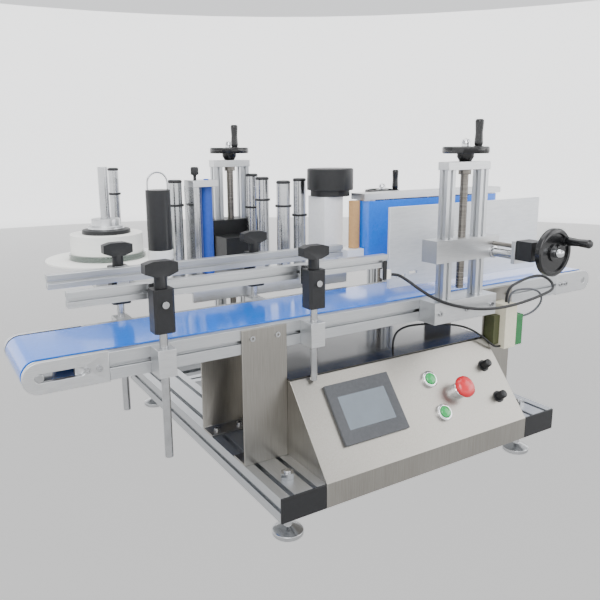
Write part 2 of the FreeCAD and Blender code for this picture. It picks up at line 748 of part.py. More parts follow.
def plate_outline(sketch, sign):
    """Draw an end plate: a half round at its free end, square at the other."""
    radius = s.end_plate_radius
    centre = sign * radius
    far = sign * s.end_plate_length
    up = Vector(0, 0, 1)
    ring_ = Part.Circle(Vector(float(centre), 0, 0), up, float(radius))
    quarter = math.pi / 2
    angles = (quarter, 3 * quarter) if sign > 0 else (-quarter, quarter)
    arc = sketch.addGeometry(Part.ArcOfCircle(ring_, *angles), False)
    upper_end, lower_end = (1, 2) if sign > 0 else (2, 1)
    corners = [(float(centre), float(radius)), (float(far), float(radius)),
               (float(far), -float(radius)), (float(centre), -float(radius))]
    lines = []
    for here, there in zip(corners, corners[1:]):
        segment = Part.LineSegment(Vector(here[0], here[1], 0), Vector(there[0], there[1], 0))
        lines.append(sketch.addGeometry(segment, False))
    sketch.addConstraint(Sketcher.Constraint("Tangent", lines[0], 1, arc, upper_end))
    sketch.addConstraint(Sketcher.Constraint("Tangent", lines[2], 2, arc, lower_end))
    sketch.addConstraint(Sketcher.Constraint("Coincident", lines[0], 2, lines[1], 1))
    sketch.addConstraint(Sketcher.Constraint("Coincident", lines[1], 2, lines[2], 1))
    sketch.addConstraint(Sketcher.Constraint("Vertical", lines[1]))
    hold(sketch, "Radius", arc, 0, radius)
    hold(sketch, "DistanceX", arc, 3, centre)
    hold(sketch, "DistanceY", arc, 3, 0)
    hold(sketch, "DistanceX", lines[0], 2, far)
    bore = s.shaft_radius + s.shaft_clearance
    if sign > 0:
        stadium(sketch, centre, centre + s.tension_slot, 0, bore)
    else:
        circle(sketch, bore, centre, 0)


def slider_bed():
    """Make the sheet that carries the belt, narrowed between the end plates."""
    top = s.roller_axis_z + s.roller_radius + s.belt_gap
    inset = s.side_thickness + s.joiner_thickness + 1
    wide_left = side_left + s.joiner_length / 2
    wide_right = side_left + side_length - s.joiner_length / 2
    tongue_left = left_roller_x + s.roller_radius * 1.5
    tongue_right = right_roller_x - s.roller_radius * 1.5
    front = s.conveyor_y + s.side_thickness
    rear = conveyor_rear - s.side_thickness
    inner_front = s.conveyor_y + inset
    inner_rear = conveyor_rear - inset
    outline = [
        (tongue_left, inner_front), (wide_left, inner_front), (wide_left, front),
        (wide_right, front), (wide_right, inner_front), (tongue_right, inner_front),
        (tongue_right, inner_rear), (wide_right, inner_rear), (wide_right, rear),
        (wide_left, rear), (wide_left, inner_rear), (tongue_left, inner_rear),
    ]
    node(prism("bed_sheet", outline, s.bed_thickness, 0, 0, top - s.bed_thickness), "slider_bed")


def belt():
    """Make the endless belt as a thin loop round both rollers."""
    body = new_body("belt_loop")
    sketch = sketch_on(body, "XY_Plane")
    span = right_roller_x - left_roller_x
    stadium(sketch, 0, span, 0, belt_outer_radius)
    stadium(sketch, 0, span, 0, belt_outer_radius - s.belt_thickness)
    pad(body, sketch, s.belt_width)
    rear = s.conveyor_y + (s.conveyor_width + s.belt_width) / 2
    node(place(body, left_roller_x, rear, s.roller_axis_z, FORWARD), "conveyor_belt")


def brackets():
    """Make the four folded brackets that stand on the rails."""
    thick = s.bracket_thickness
    tall = s.bracket_height
    flange = s.bracket_flange
    front = [(0, 0), (flange, 0), (flange, thick), (thick, thick), (thick, tall), (0, tall)]
    rear = [(0, 0), (flange, 0), (flange, tall), (flange - thick, tall), (flange - thick, thick),
            (0, thick)]
    pieces = []
    for side, left in (("left", 0), ("right", rail_right_x)):
        pieces.append(prism("bracket_front_" + side, front, s.rail_width, left,
                            s.conveyor_y - thick, deck_z, RIGHTWARD))
        pieces.append(prism("bracket_rear_" + side, rear, s.rail_width, left,
                            conveyor_rear + thick - flange, deck_z, RIGHTWARD))
    node(group("bracket_set", pieces), "conveyor_brackets")


# --------------------------------------------------------------- bottle guides

def bottle_guides():
    """Make the front and rear guides, which mirror each other over the lane."""
    front_face = s.lane_front_y
    rear_face = s.lane_front_y + s.lane_width
    holders = []
    holders += guide_side("front", s.conveyor_y, -1, front_face - s.guide_thickness, front_face)
    holders += guide_side("rear", conveyor_rear, 1, rear_face, rear_face + s.guide_thickness)
    node(group("holder_set", holders), "rod_holders")
    sensor_x = s.guide_left + s.guide_length
    head = box("sensor_head", 12, 16, 16, sensor_x - 4, front_face - s.guide_thickness, s.guide_z - 22)
    tab = box("sensor_tab", 8, 3, 34, sensor_x - 12, front_face - s.guide_thickness - 3,
              s.guide_z - 22)
    node(group("sensor_set", [head, tab]), "bottle_sensor")


def guide_side(side, face_y, out, guide_front, guide_rear):
    """Make one guide with its posts, clamps and knobs; gives its two holders.

    face_y is the conveyor's outer face on that side, and out is -1 in front, 1 behind.
    """
    rod_y = face_y + out * s.rod_offset
    posts = []
    blocks = []
    holders = []
    reach = s.rod_radius + s.shaft_clearance
    bore = s.cross_rod_radius + s.shaft_clearance
    rods = []
    back_y = guide_front if out < 0 else guide_rear
    right_bottom = s.right_rod_bottom_z if out < 0 else s.rear_rod_bottom_z
    for mark, x, bottom in (("left", s.rod_x_left, s.left_rod_bottom_z),
                            ("right", s.rod_x_right, right_bottom)):
        name = "%s_%s" % (side, mark)
        posts.append(cylinder("post_" + name, s.rod_radius, s.rod_top_z - bottom, x, rod_y, bottom))
        near = face_y - s.holder_depth if out < 0 else face_y
        block = box("holder_block_" + name, s.holder_width, s.holder_depth, s.side_height,
                    x - s.holder_width / 2, near, side_z)
        hole = cylinder("holder_hole_" + name, reach, s.side_height + 2, x, rod_y, side_z - 1)
        holders.append(cut("holder_" + name, block, [hole]))
        blocks.append(clamp_block(name, x, rod_y, bore, reach))
        rods.append(cross_rod(name, x, rod_y, out, back_y))
        label = "%s_knob_%s" % (side, mark)
        node(tee_knob("tee_" + name, x, rod_y, s.clamp_z + s.clamp_height + 0.3), label)
    node(group("post_pair_" + side, posts), side + "_guide_posts")
    node(group("clamp_pair_" + side, blocks), side + "_clamp_blocks")
    slot = (s.guide_slot, s.guide_slot * 0.3, s.guide_slot * 1.8, s.guide_slot, s.guide_slot)
    outline = extrusion_outline(s.guide_thickness, s.guide_height, slot, [], [s.guide_height / 2])
    bar = prism("guide_bar_" + side, outline, s.guide_length, s.guide_left, guide_front,
                s.guide_z, RIGHTWARD)
    node(group("guide_set_" + side, [bar] + rods), side + "_guide_rail")
    return holders


def clamp_block(name, x, y, bore, reach):
    """Make a clamp block: chamfered, bored for its post and for the cross rod."""
    wide = s.clamp_width / 2
    deep = s.clamp_depth / 2
    nip = s.clamp_width * 0.12
    outline = [
        (-wide + nip, -deep), (wide - nip, -deep), (wide, -deep + nip), (wide, deep - nip),
        (wide - nip, deep), (-wide + nip, deep), (-wide, deep - nip), (-wide, -deep + nip),
    ]
    block = prism("clamp_body_" + name, outline, s.clamp_height, x, y, s.clamp_z)
    socket = cylinder("clamp_socket_" + name, reach, s.rod_top_z - s.clamp_z + 1, x, y,
                      s.clamp_z - 1)
    through = cylinder("clamp_through_" + name, bore, s.clamp_depth + 2, x,
                       y + s.clamp_depth / 2 + 1, s.cross_rod_z, FORWARD)
    return cut("clamp_" + name, block, [socket, through])


def cross_rod(name, x, y, out, back_y):
    """Make a cross rod with the tab that is screwed to the guide."""
    near = y + out * s.cross_rod_front
    tab_far = back_y + out * s.tab_thickness
    start = near if out > 0 else tab_far
    stop = tab_far if out > 0 else near
    rod = cylinder("cross_bar_" + name, s.cross_rod_radius, start - stop, x, start,
                   s.cross_rod_z, FORWARD)
    tab = box("cross_tab_" + name, s.tab_width, s.tab_thickness, s.tab_height,
              x - s.tab_width / 2, tab_far if out < 0 else back_y,
              s.cross_rod_z - s.cross_rod_radius - 1)
    return fuse("cross_" + name, [rod, tab])


def tee_knob(name, x, y, z):
    """Make a T-handle clamping knob: round neck under a tapered bar."""
    neck = cylinder(name + "_neck", s.tee_neck_radius, s.tee_neck_height + 2, x, y, z)
    half = s.tee_length / 2
    outline = [
        (-half, s.tee_height * 0.25), (-half * 0.4, 0), (half * 0.4, 0),
        (half, s.tee_height * 0.25), (half, s.tee_height * 0.85), (half * 0.5, s.tee_height),
        (-half * 0.5, s.tee_height), (-half, s.tee_height * 0.85),
    ]
    bar = prism(name + "_bar", outline, s.tee_width, x, y + s.tee_width / 2,
                z + s.tee_neck_height, FORWARD)
    return fuse(name, [neck, bar])


# ------------------------------------------------- lift columns and handwheels

def lift_column(name, x, y, base_z, top_z, spacing, turned_back=False):
    """Make a pair of slotted columns and their top plate.

    The pair stands across the conveyor's direction where turned_back is set.
    """
    slot = (s.column_slot, s.column_slot * 0.4, s.column_slot * 1.8, s.column_slot * 0.8,
            s.column_slot * 1.1)
    half = s.column_size / 2
    columns = []
    for side in (-1, 1):
        post = extrusion("%s_column_%d" % (name, side + 1), s.column_size, s.column_size,
                         top_z - base_z, slot, [half], [half], [], 0)
        across = side * spacing / 2
        if turned_back:
            place(post, x - half, y + across - half, base_z)
        else:
            place(post, x + across - half, y - half, base_z)
        columns.append(post)
    long_side = s.top_plate_length - s.column_spacing + spacing
    across, along = long_side, s.top_plate_width
    if turned_back:
        across, along = along, across
    plate = box(name + "_top_block", across, along, s.top_plate_thickness,
                x - across / 2, y - along / 2, top_z)
    bore = cylinder(name + "_top_bore", s.screw_radius + s.shaft_clearance,
                    s.top_plate_thickness + 2, x, y, top_z - 1)
    return columns, cut(name + "_top_plate", plate, [bore])


def handwheel(name, x, y, z, length, radius, collar_gap, handle_angle, turn=UPWARD):
    """Make a handwheel with its screw, domed nut and handle.

    The point is where the hub meets its plate; the screw runs length behind it.
    """
    hub_top = s.hub_height
    rim = s.wheel_rim_height
    web = s.wheel_web
    middle = hub_top + rim / 2
    inner = s.wheel_radius - s.wheel_rim_width
    wheel_points = [
        (radius, 0.4), (s.hub_radius * 0.7, 0.4), (s.hub_radius, hub_top * 0.6),
        (s.hub_radius, middle - web / 2), (inner, middle - web / 2), (inner, hub_top),
        (s.wheel_radius - 2, hub_top), (s.wheel_radius, hub_top + 2),
        (s.wheel_radius, hub_top + rim - 2), (s.wheel_radius - 2, hub_top + rim),
        (inner, hub_top + rim), (inner, middle + web / 2), (s.hub_radius, middle + web / 2),
        (s.hub_radius, hub_top + rim), (radius, hub_top + rim),
    ]
    nut_base = hub_top + rim
    nut_top = nut_base + s.wheel_nut_height
    collar = radius * s.collar_ratio
    screw_points = [
        (0, -length), (radius, -length), (radius, -collar_gap - s.collar_height),
        (collar, -collar_gap - s.collar_height), (collar, -collar_gap), (radius, -collar_gap),
        (radius, nut_base), (0, nut_base),
    ]
    nut_points = [(0, nut_base), (s.wheel_nut_radius, nut_base),
                  (s.wheel_nut_radius, nut_base + s.wheel_nut_height * 0.45),
                  (s.wheel_nut_radius * 0.7, nut_top - 2), (0, nut_top)]
    angle = math.radians(handle_angle)
    grip = s.handle_radius
    grip_points = [
        (0, 0), (grip * 0.8, 0), (grip, 4), (grip * 0.85, s.handle_length * 0.5),
        (grip, s.handle_length - 3), (grip - 2, s.handle_length), (0, s.handle_length),
    ]
    low = middle - web / 2
    high = nut_base + s.handle_boss
    offset = Vector(float(s.handle_offset) * math.cos(angle),
                    float(s.handle_offset) * math.sin(angle), 0)

    def beside(level):
        """Give the datum point under the handle at a height over the hub's foot."""
        return Vector(float(x), float(y), float(z)) + turn.multVec(offset + Vector(0, 0, float(level)))

    rim_part = turned(name + "_rim", wheel_points, x, y, z, turn)
    boss = cylinder(name + "_boss", grip + 1, high - low, *beside(low), turn)
    pieces = [
        fuse(name + "_hand_rim", [rim_part, boss]),
        turned(name + "_screw", screw_points, x, y, z, turn),
        turned(name + "_nut", nut_points, x, y, z, turn),
        turned(name + "_handle", grip_points, *beside(high), turn),
    ]
    return group(name, pieces)


# ------------------------------------------------------------------ press unit

def press_unit(columns, plates):
    """Make the press plate with its lift and its cross slide."""
    base = box("press_base_block", s.press_base_length, s.press_base_depth, s.side_height,
               s.press_x - s.press_base_length / 2, s.conveyor_y - s.press_base_depth, side_z)
    plates.append(base)
    posts, top = lift_column("press", s.press_x, press_y, side_top, s.column_top_z, s.column_spacing)
    columns += posts
    plates.append(top)
    wheel = handwheel("press_lift", s.press_x, press_y, wheel_base_z,
                      wheel_base_z - s.press_screw_bottom_z, s.screw_radius,
                      s.top_plate_thickness + 0.4, -94)
    node(wheel, "press_lift_wheel")
    carriage_front = press_y - s.carriage_depth / 2
    press_carriage(carriage_front)
    press_slide(carriage_front)


def press_carriage(front):
    """Make the carriage that rides on both press columns, with its bush."""
    left = s.press_x - s.carriage_length / 2
    block = box("carriage_block", s.carriage_length, s.carriage_depth, s.carriage_height,
                left, front, s.carriage_z)
    opening = s.column_size + 2 * s.slide_gap
    tools = []
    for side in (-1, 1):
        tools.append(box("carriage_way_%d" % (side + 1), opening, opening, s.carriage_height + 2,
                         s.press_x + side * s.column_spacing / 2 - opening / 2,
                         press_y - opening / 2, s.carriage_z - 1))
    tools.append(cylinder("carriage_nut_bore", s.screw_radius + s.shaft_clearance,
                          s.carriage_height + 2, s.press_x, press_y, s.carriage_z - 1))
    tools.append(cylinder("carriage_rod_bore", s.slide_rod_radius + s.shaft_clearance,
                          s.carriage_depth + 2, s.slide_x, front - 1, s.slide_rod_z, BACKWARD))
    tools.append(cylinder("carriage_screw_bore", s.slide_screw_radius + s.shaft_clearance,
                          s.carriage_depth + 2, s.slide_x, front - 1, s.slide_screw_z, BACKWARD))
    body = cut("carriage_cut", block, tools)
    bush_outer = s.slide_rod_radius + 3
    bush = turned("carriage_bush", [
        (s.slide_rod_radius + s.shaft_clearance, 0), (bush_outer, 0), (bush_outer, 3),
        (s.slide_rod_radius + s.shaft_clearance, 4),
    ], s.slide_x, front, s.slide_rod_z, FORWARD)
    node(group("carriage_set", [body, bush]), "press_carriage")


def press_slide(front):
    """Make the cross slide: rod, end plate, indicator, press plate and wheel."""
    wide = s.slide_plate_width
    tall = s.slide_plate_height
    low = s.slide_rod_z - 12
    rod = cylinder("slide_rod", s.slide_rod_radius,
                   s.press_plate_y - s.slide_plate_thickness - s.end_plate_y - s.slide_plate_thickness,
                   s.slide_x, s.end_plate_y + s.slide_plate_thickness, s.slide_rod_z, BACKWARD)
    plate = box("slide_end_block", wide, s.slide_plate_thickness, tall, s.slide_x - wide / 2,
                s.end_plate_y, low)
    bore = cylinder("slide_end_bore", s.slide_screw_radius + s.shaft_clearance,
                    s.slide_plate_thickness + 2, s.slide_x, s.end_plate_y - 1, s.slide_screw_z,
                    BACKWARD)
    end = cut("slide_end_plate", plate, [bore])
    pad_plate = box("slide_rear_plate", wide, s.slide_plate_thickness, tall, s.slide_x - wide / 2,
                    s.press_plate_y - s.slide_plate_thickness, low)
    node(group("slide_set", [rod, end, pad_plate]), "press_slide")
    indicator_front = s.end_plate_y - s.indicator_depth
    case = box("indicator_case", s.indicator_width, s.indicator_depth, s.indicator_height,
               s.slide_x - s.indicator_width / 2, indicator_front,
               s.slide_screw_z - s.indicator_height * 0.6)
    shaft_hole = cylinder("indicator_hole", s.slide_screw_radius + s.shaft_clearance,
                          s.indicator_depth + 2, s.slide_x, indicator_front - 1, s.slide_screw_z,
                          BACKWARD)
    window = box("indicator_window", s.indicator_width * 0.6, 3, s.indicator_height * 0.2,
                 s.slide_x - s.indicator_width * 0.3, indicator_front - 1,
                 s.slide_screw_z - s.indicator_height * 0.5)
    node(cut("indicator_body", case, [shaft_hole, window]), "position_indicator")
    face = box("press_face", s.press_plate_length, s.press_plate_thickness, s.press_plate_height,
               s.press_plate_left, s.press_plate_y, s.press_plate_bottom)
    slots = []
    for step, x in enumerate((0.05, 0.12)):
        slots.append(box("press_slot_%d" % step, s.press_plate_length * 0.05, 10, 6,
                         s.press_plate_left + s.press_plate_length * x, s.press_plate_y - 2,
                         s.press_plate_bottom + 18 + 4 * step))
    node(cut("press_face_cut", face, slots), "press_plate")
    hub = s.hub_height + s.wheel_rim_height / 2
    start_y = s.slide_wheel_y + hub
    wheel = handwheel("press_reach", s.slide_x, start_y, s.slide_screw_z,
                      s.slide_screw_rear_y - start_y, s.slide_screw_radius,
                      s.end_plate_y + s.slide_plate_thickness - start_y + 0.4, 35, FORWARD)
    node(wheel, "press_reach_wheel")


# ------------------------------------------------------------------ label head

def foot_plate(name, x, y, length, width):
    """Make the plate that a rear lift column stands on."""
    return box(name, length, width, s.foot_plate_thickness, x - length / 2, y - width / 2, deck_z)


def label_head(columns, plates):
    """Make the lifted label head behind the conveyor."""
    base_z = deck_z + s.foot_plate_thickness
    plates.append(foot_plate("head_foot_plate", s.head_x, s.head_y, s.foot_plate_length,
                             s.foot_plate_width))
    posts, top = lift_column("head", s.head_x, s.head_y, base_z, s.column_top_z,
                             s.head_column_spacing)
    columns += posts
    plates.append(top)
    wheel = handwheel("head_lift", s.head_x, s.head_y, wheel_base_z,
                      wheel_base_z - base_z - 15, s.screw_radius, s.top_plate_thickness + 0.4, -94)
    node(wheel, "head_lift_wheel")
    head_carriage()
    head_plate()
    web_posts()
    label_reel()
    rewinder()
    traction_unit()


def head_carriage():
    """Make the dark clamp blocks that carry the head on its columns, and their arm."""
    top = s.head_clamp_z + s.head_clamp_height
    lower_z = s.head_plate_z + s.head_plate_thickness
    left = s.head_x - s.head_block_length / 2
    front = s.head_y - s.head_block_depth / 2
    upper = box("head_upper_block", s.head_block_length, s.head_block_depth, s.head_block_height,
                left, front, top)
    lower = box("head_lower_block", s.head_block_length - 12, s.head_block_depth,
                s.head_clamp_height, left + 6, front, s.head_clamp_z)
    opening = s.column_size + 2 * s.slide_gap
    height = s.head_block_height + s.head_clamp_height + 2
    tools = []
    for side in (-1, 1):
        tools.append(box("head_way_%d" % (side + 1), opening, opening, height,
                         s.head_x + side * s.head_column_spacing / 2 - opening / 2,
                         s.head_y - opening / 2, s.head_clamp_z - 1))
    tools.append(cylinder("head_nut_bore", s.screw_radius + s.shaft_clearance, height,
                          s.head_x, s.head_y, s.head_clamp_z - 1))
    blocks = cut("head_blocks", fuse("head_block_pair", [upper, lower]), tools)
    arm = box("head_arm", s.head_arm_width, front - s.head_plate_rear + 60, top - lower_z,
              s.head_arm_left, s.head_plate_rear - 60, lower_z)
    node(group("head_carriage_set", [blocks, arm]), "head_carriage")


def head_plate():
    """Make the head's base plate: arms for drum, reel and web post, and a front lip."""
    left = s.head_plate_left
    front = s.head_plate_front
    right = s.head_plate_right
    corner = s.head_plate_corner
    step = front + corner
    rounded = [(left, step), (left + corner * 0.29, front + corner * 0.29), (left + corner, front)]
    outline = rounded + [
        (right, front), (right, s.head_plate_rear), (s.web_arm_right, s.head_plate_rear),
        (s.web_arm_right, s.web_arm_rear), (s.drum_arm_left, s.web_arm_rear),
        (s.drum_arm_left, s.reel_arm_rear), (s.reel_arm_left, s.reel_arm_rear),
        (s.reel_arm_left, s.reel_arm_front), (s.drum_arm_left, s.reel_arm_front),
        (s.drum_arm_left, step),
    ]
    sheet = prism("head_sheet", outline, s.head_plate_thickness, 0, 0, s.head_plate_z)
    lip = box("head_lip", right - left - corner, s.head_lip_thickness, s.head_lip_drop,
              left + corner, front, s.head_plate_z - s.head_lip_drop)
    node(group("head_plate_set", [sheet, lip]), "head_plate")


# Web posts: x, y, top z, height of the collar over the plate, and radius share.
WEB_POSTS = {
    "first": (28, 440, 474, 133, 1.0),
    "second": (208, 339, 471, 130, 1.0),
    "third": (282, 399, 471, 103, 1.0),
    "fourth": (216, 437, 474, 135, 1.0),
    "fifth": (218, 487, 479, 116, 0.93),
    "sixth": (-40, 608, 494, 148, 0.78),
}


def web_posts():
    """Make the fixed web posts with their caps and adjustable collars."""
    floor = s.head_plate_z + s.head_plate_thickness
    posts = []
    trims = []
    for name, (x, y, top, collar, share) in WEB_POSTS.items():
        radius = s.post_radius * share
        posts.append(cylinder("web_post_" + name, radius, top - floor, x, y, floor))
        cap = [(0, top), (radius + 0.8, top), (radius + 0.8, top + s.post_cap_height - 2),
               (radius - 1.5, top + s.post_cap_height), (0, top + s.post_cap_height)]
        trims.append(turned("post_cap_" + name, cap, x, y, 0))
        level = floor + collar
        lip = radius + s.collar_lip
        band = [(radius, level), (lip, level), (lip, level + s.collar_band),
                (radius, level + s.collar_band)]
        trims.append(turned("post_collar_" + name, band, x, y, 0))
    node(group("post_set", posts), "guide_posts")
    node(group("trim_set", trims), "post_collars")


def label_reel():
    """Make the supply reel: wide disc, clear disc, label roll, clamp flange and hub."""
    z = s.reel_disc_z
    clear_z = z + s.reel_disc_thickness
    roll_z = clear_z + s.clear_disc_thickness
    flange_z = roll_z + s.roll_height
    hub_z = flange_z + s.flange_thickness
    bore = s.spindle_radius + s.shaft_clearance
    disc = turned("reel_disc", [(bore, z), (s.reel_disc_radius, z), (s.reel_disc_radius, clear_z),
                                (bore, clear_z)], s.reel_x, s.reel_y, 0)
    clear = turned("reel_clear", [(bore, clear_z), (s.clear_disc_radius, clear_z),
                                  (s.clear_disc_radius, roll_z), (bore, roll_z)],
                   s.reel_x, s.reel_y, 0)
    roll = turned("reel_roll", [(s.roll_bore, roll_z), (s.roll_radius, roll_z),
                                (s.roll_radius, flange_z), (s.roll_bore, flange_z)],
                  s.reel_x, s.reel_y, 0)
    core = turned("reel_core", [
        (bore, roll_z), (s.roll_bore, roll_z), (s.roll_bore, flange_z), (s.flange_radius, flange_z),
        (s.flange_radius, hub_z - 2), (s.flange_radius * 0.75, hub_z),
        (s.flange_radius * 0.75, hub_z + 5), (s.reel_hub_radius, hub_z + 5),
        (s.reel_hub_radius, hub_z + s.reel_hub_height), (bore, hub_z + s.reel_hub_height),
    ], s.reel_x, s.reel_y, 0)
    node(group("reel_set", [disc, clear, roll, core]), "label_reel")


def rewinder():
    """Make the backing paper drum with its wire clip."""
    low = s.drum_z - s.drum_base_height
    top = s.drum_z + s.drum_height
    drum = turned("drum_body", [
        (0, low), (s.drum_base_radius, low), (s.drum_base_radius, s.drum_z),
        (s.drum_radius, s.drum_z), (s.drum_radius, top), (0, top),
    ], s.drum_x, s.drum_y, 0)
    leg = s.drum_radius - 3
    wire = s.drum_clip_radius
    rise = s.drum_clip_height - leg
    legs = []
    for side in (-1, 1):
        legs.append(cylinder("clip_leg_%d" % (side + 1), wire, rise, s.drum_x + side * leg,
                             s.drum_y, top))
    bow = document.addObject("Part::Torus", "clip_bow")
    bind(bow, "Radius1", leg)
    bind(bow, "Radius2", wire)
    bow.Angle3 = 180
    place(bow, s.drum_x, s.drum_y, top + rise, FORWARD)
    clip = fuse("drum_clip", legs + [bow])
    node(group("drum_set", [drum, clip]), "rewind_drum")


def traction_unit():
    """Make the traction roller in its small frame, and the spindles below."""
    floor = s.head_plate_z + s.head_plate_thickness
    top = s.traction_top_z
    x = s.traction_x
    y = s.traction_y
    gap = Size("0.5", 0.5)
    roller = turned("traction_body", [
        (0, floor + gap), (s.traction_radius, floor + gap), (s.traction_radius, top - gap),
        (5, top - gap), (5, top + s.traction_plate_thickness + 2),
        (0, top + s.traction_plate_thickness + 2),
    ], x, y, 0)
    node(roller, "traction_roller")
    length = s.traction_plate_length
    width = s.traction_plate_width
    left = x - length + s.traction_radius + 4
    lid = box("traction_lid", length, width, s.traction_plate_thickness, left, y - width / 2, top)
    bore = cylinder("traction_bore", 5 + s.shaft_clearance, s.traction_plate_thickness + 2,
                    x, y, top - 1)
    cover = cut("traction_cover", lid, [bore])
    upright = box("traction_upright", s.traction_upright, width, top - floor, left, y - width / 2,
                  floor)
    pinch = cylinder("traction_pinch", s.pinch_radius, top - floor,
                     x - s.traction_radius - s.pinch_radius - 1.5, y, floor)
    knob = turned("traction_knob", [
        (0, 0), (3, 0), (3, 9), (7.5, 11), (7.5, 23), (6, 25), (0, 25),
    ], left + 13, y, top + s.traction_plate_thickness)
    spindle_low = s.drum_z - s.drum_base_height - 0.5
    pin = cylinder("drum_pin", 10, spindle_low - floor, s.drum_x, s.drum_y, floor)
    spindle = turned("reel_spindle", [
        (0, floor), (20, floor), (20, s.reel_disc_z - 0.5), (s.spindle_radius, s.reel_disc_z - 0.5),
        (s.spindle_radius, s.spindle_top_z), (0, s.spindle_top_z),
    ], s.reel_x, s.reel_y, 0)
    node(group("traction_set", [cover, upright, pinch, knob, pin, spindle]), "traction_frame")


# ---------------------------------------------------------------- wrap station

def wrap_station(columns, plates):
    """Make the wrap belt unit with its motor and its own lift."""
    base_z = deck_z + s.foot_plate_thickness
    x = s.wrap_lift_x
    y = s.wrap_lift_y
    plates.append(foot_plate("wrap_foot_plate", x, y, s.foot_plate_width, s.foot_plate_length - 20))
    posts, top = lift_column("wrap", x, y, base_z, s.wrap_column_top_z, s.wrap_column_spacing, True)
    columns += posts
    plates.append(top)
    hub_z = s.wrap_column_top_z + s.top_plate_thickness
    wheel = handwheel("wrap_lift", x, y, hub_z, hub_z - base_z - 15, s.screw_radius,
                      s.top_plate_thickness + 0.4, -31)
    node(wheel, "wrap_lift_wheel")
    radius = s.wrap_roller_radius
    outer = radius + s.wrap_belt_thickness
    centre_y = s.wrap_y + outer
    first = s.wrap_left + outer
    last = s.wrap_left + s.wrap_length - outer
    loop = new_body("wrap_loop")
    sketch = sketch_on(loop, "XY_Plane")
    stadium(sketch, 0, last - first, 0, outer)
    stadium(sketch, 0, last - first, 0, radius)
    pad(loop, sketch, s.wrap_belt_height)
    node(place(loop, first, centre_y, s.wrap_belt_z), "wrap_belt")
    wrap_frame(first, last, centre_y, radius)
    wrap_motor()


def wrap_frame(first, last, centre_y, radius):
    """Make the wrap unit's bars, rollers, housing and its lift block."""
    thick = s.wrap_bar_thickness
    gap = s.wrap_bar_gap
    low = s.wrap_belt_z - gap - thick
    high = s.wrap_belt_z + s.wrap_belt_height + gap
    reach = s.wrap_roller_radius + s.wrap_belt_thickness
    depth = 2 * reach
    top_bar = box("wrap_top_bar", s.wrap_length, depth, thick, s.wrap_left, s.wrap_y, high)
    x = s.wrap_lift_x
    y = s.wrap_lift_y
    size = s.wrap_block_size
    bottom_bar = box("wrap_bottom_bar", s.wrap_length, depth, thick, s.wrap_left, s.wrap_y, low)
    block_front = y - s.wrap_column_spacing / 2 - 22
    arm = box("wrap_arm", 90, block_front - s.wrap_y - depth, thick, x - 45, s.wrap_y + depth, low)
    block = box("wrap_lift_body", size, s.wrap_column_spacing + 44, s.wrap_block_height,
                x - size / 2, block_front, low)
    rollers = []
    for mark, roller_x in (("drive", first), ("idle", last)):
        rollers.append(cylinder("wrap_pulley_" + mark, radius - s.belt_gap,
                                s.wrap_belt_height + 2 * gap, roller_x, centre_y,
                                s.wrap_belt_z - gap))
    opening = s.column_size + 2 * s.slide_gap
    tools = []
    for side in (-1, 1):
        tools.append(box("wrap_way_%d" % (side + 1), opening, opening, s.wrap_block_height + 2,
                         x - opening / 2, y + side * s.wrap_column_spacing / 2 - opening / 2,
                         low - 1))
    tools.append(cylinder("wrap_nut_bore", s.screw_radius + s.shaft_clearance,
                          s.wrap_block_height + 2, x, y, low - 1))
    slider = cut("wrap_slider", block, tools)
    housing = box("wrap_housing", s.housing_width, s.housing_depth, s.housing_height,
                  s.housing_left, s.housing_front, s.housing_bottom)
    foot = box("wrap_housing_foot", s.wrap_left - s.housing_left, s.housing_depth - 10,
               s.housing_bottom - low + 2, s.housing_left, s.housing_front, low - 2)
    saddle = box("wrap_saddle", 40, s.housing_front - 264, 20, s.tan_roller_x - 30, 264,
                 s.housing_bottom)
    spine = box("wrap_spine", last - first - 60, 8, s.wrap_belt_height + 2 * gap, first + 30,
                centre_y - 4, s.wrap_belt_z - gap)
    node(group("wrap_set", [top_bar, bottom_bar, arm, slider, housing, foot, saddle, spine]
               + rollers), "wrap_frame")
    roller = turned("tan_body", [
        (0, s.housing_bottom + 20.4), (s.tan_roller_radius, s.housing_bottom + 20.4),
        (s.tan_roller_radius, high - 1), (0, high - 1),
    ], s.tan_roller_x, s.tan_roller_y, 0)
    node(roller, "wrap_roller")


def wrap_motor():
    """Make the round drive motor that stands on the housing."""
    base = s.housing_bottom + s.housing_height
    x = s.housing_left + s.housing_width * 0.75
    y = s.housing_front + s.housing_depth / 2
    step = base + s.motor_step_height
    top = step + s.motor_height
    outline = [(0, base), (s.motor_step_radius, base), (s.motor_step_radius, step),
               (s.motor_radius, step), (s.motor_radius, top - 2), (s.motor_radius - 2, top),
               (0, top)]
    node(turned("motor_body", outline, x, y, 0), "wrap_motor")


# ----------------------------------------------------- amplifiers and cables

def amplifiers():
    """Make the sensor amplifiers on the front right bracket."""
    rear = s.conveyor_y - s.bracket_thickness
    left = rail_right_x
    cases = []
    for name, start, width, deep, low, tall in (
            ("dark", 4, 16, 24, 158, 58), ("pale", 20, 32, 38, 150, 88), ("green", 52, 26, 32, 150, 62)):
        cases.append(box("amplifier_" + name, width, deep, tall, left + start, rear - deep, low))
    node(group("amplifier_set", cases), "amplifier_boxes")


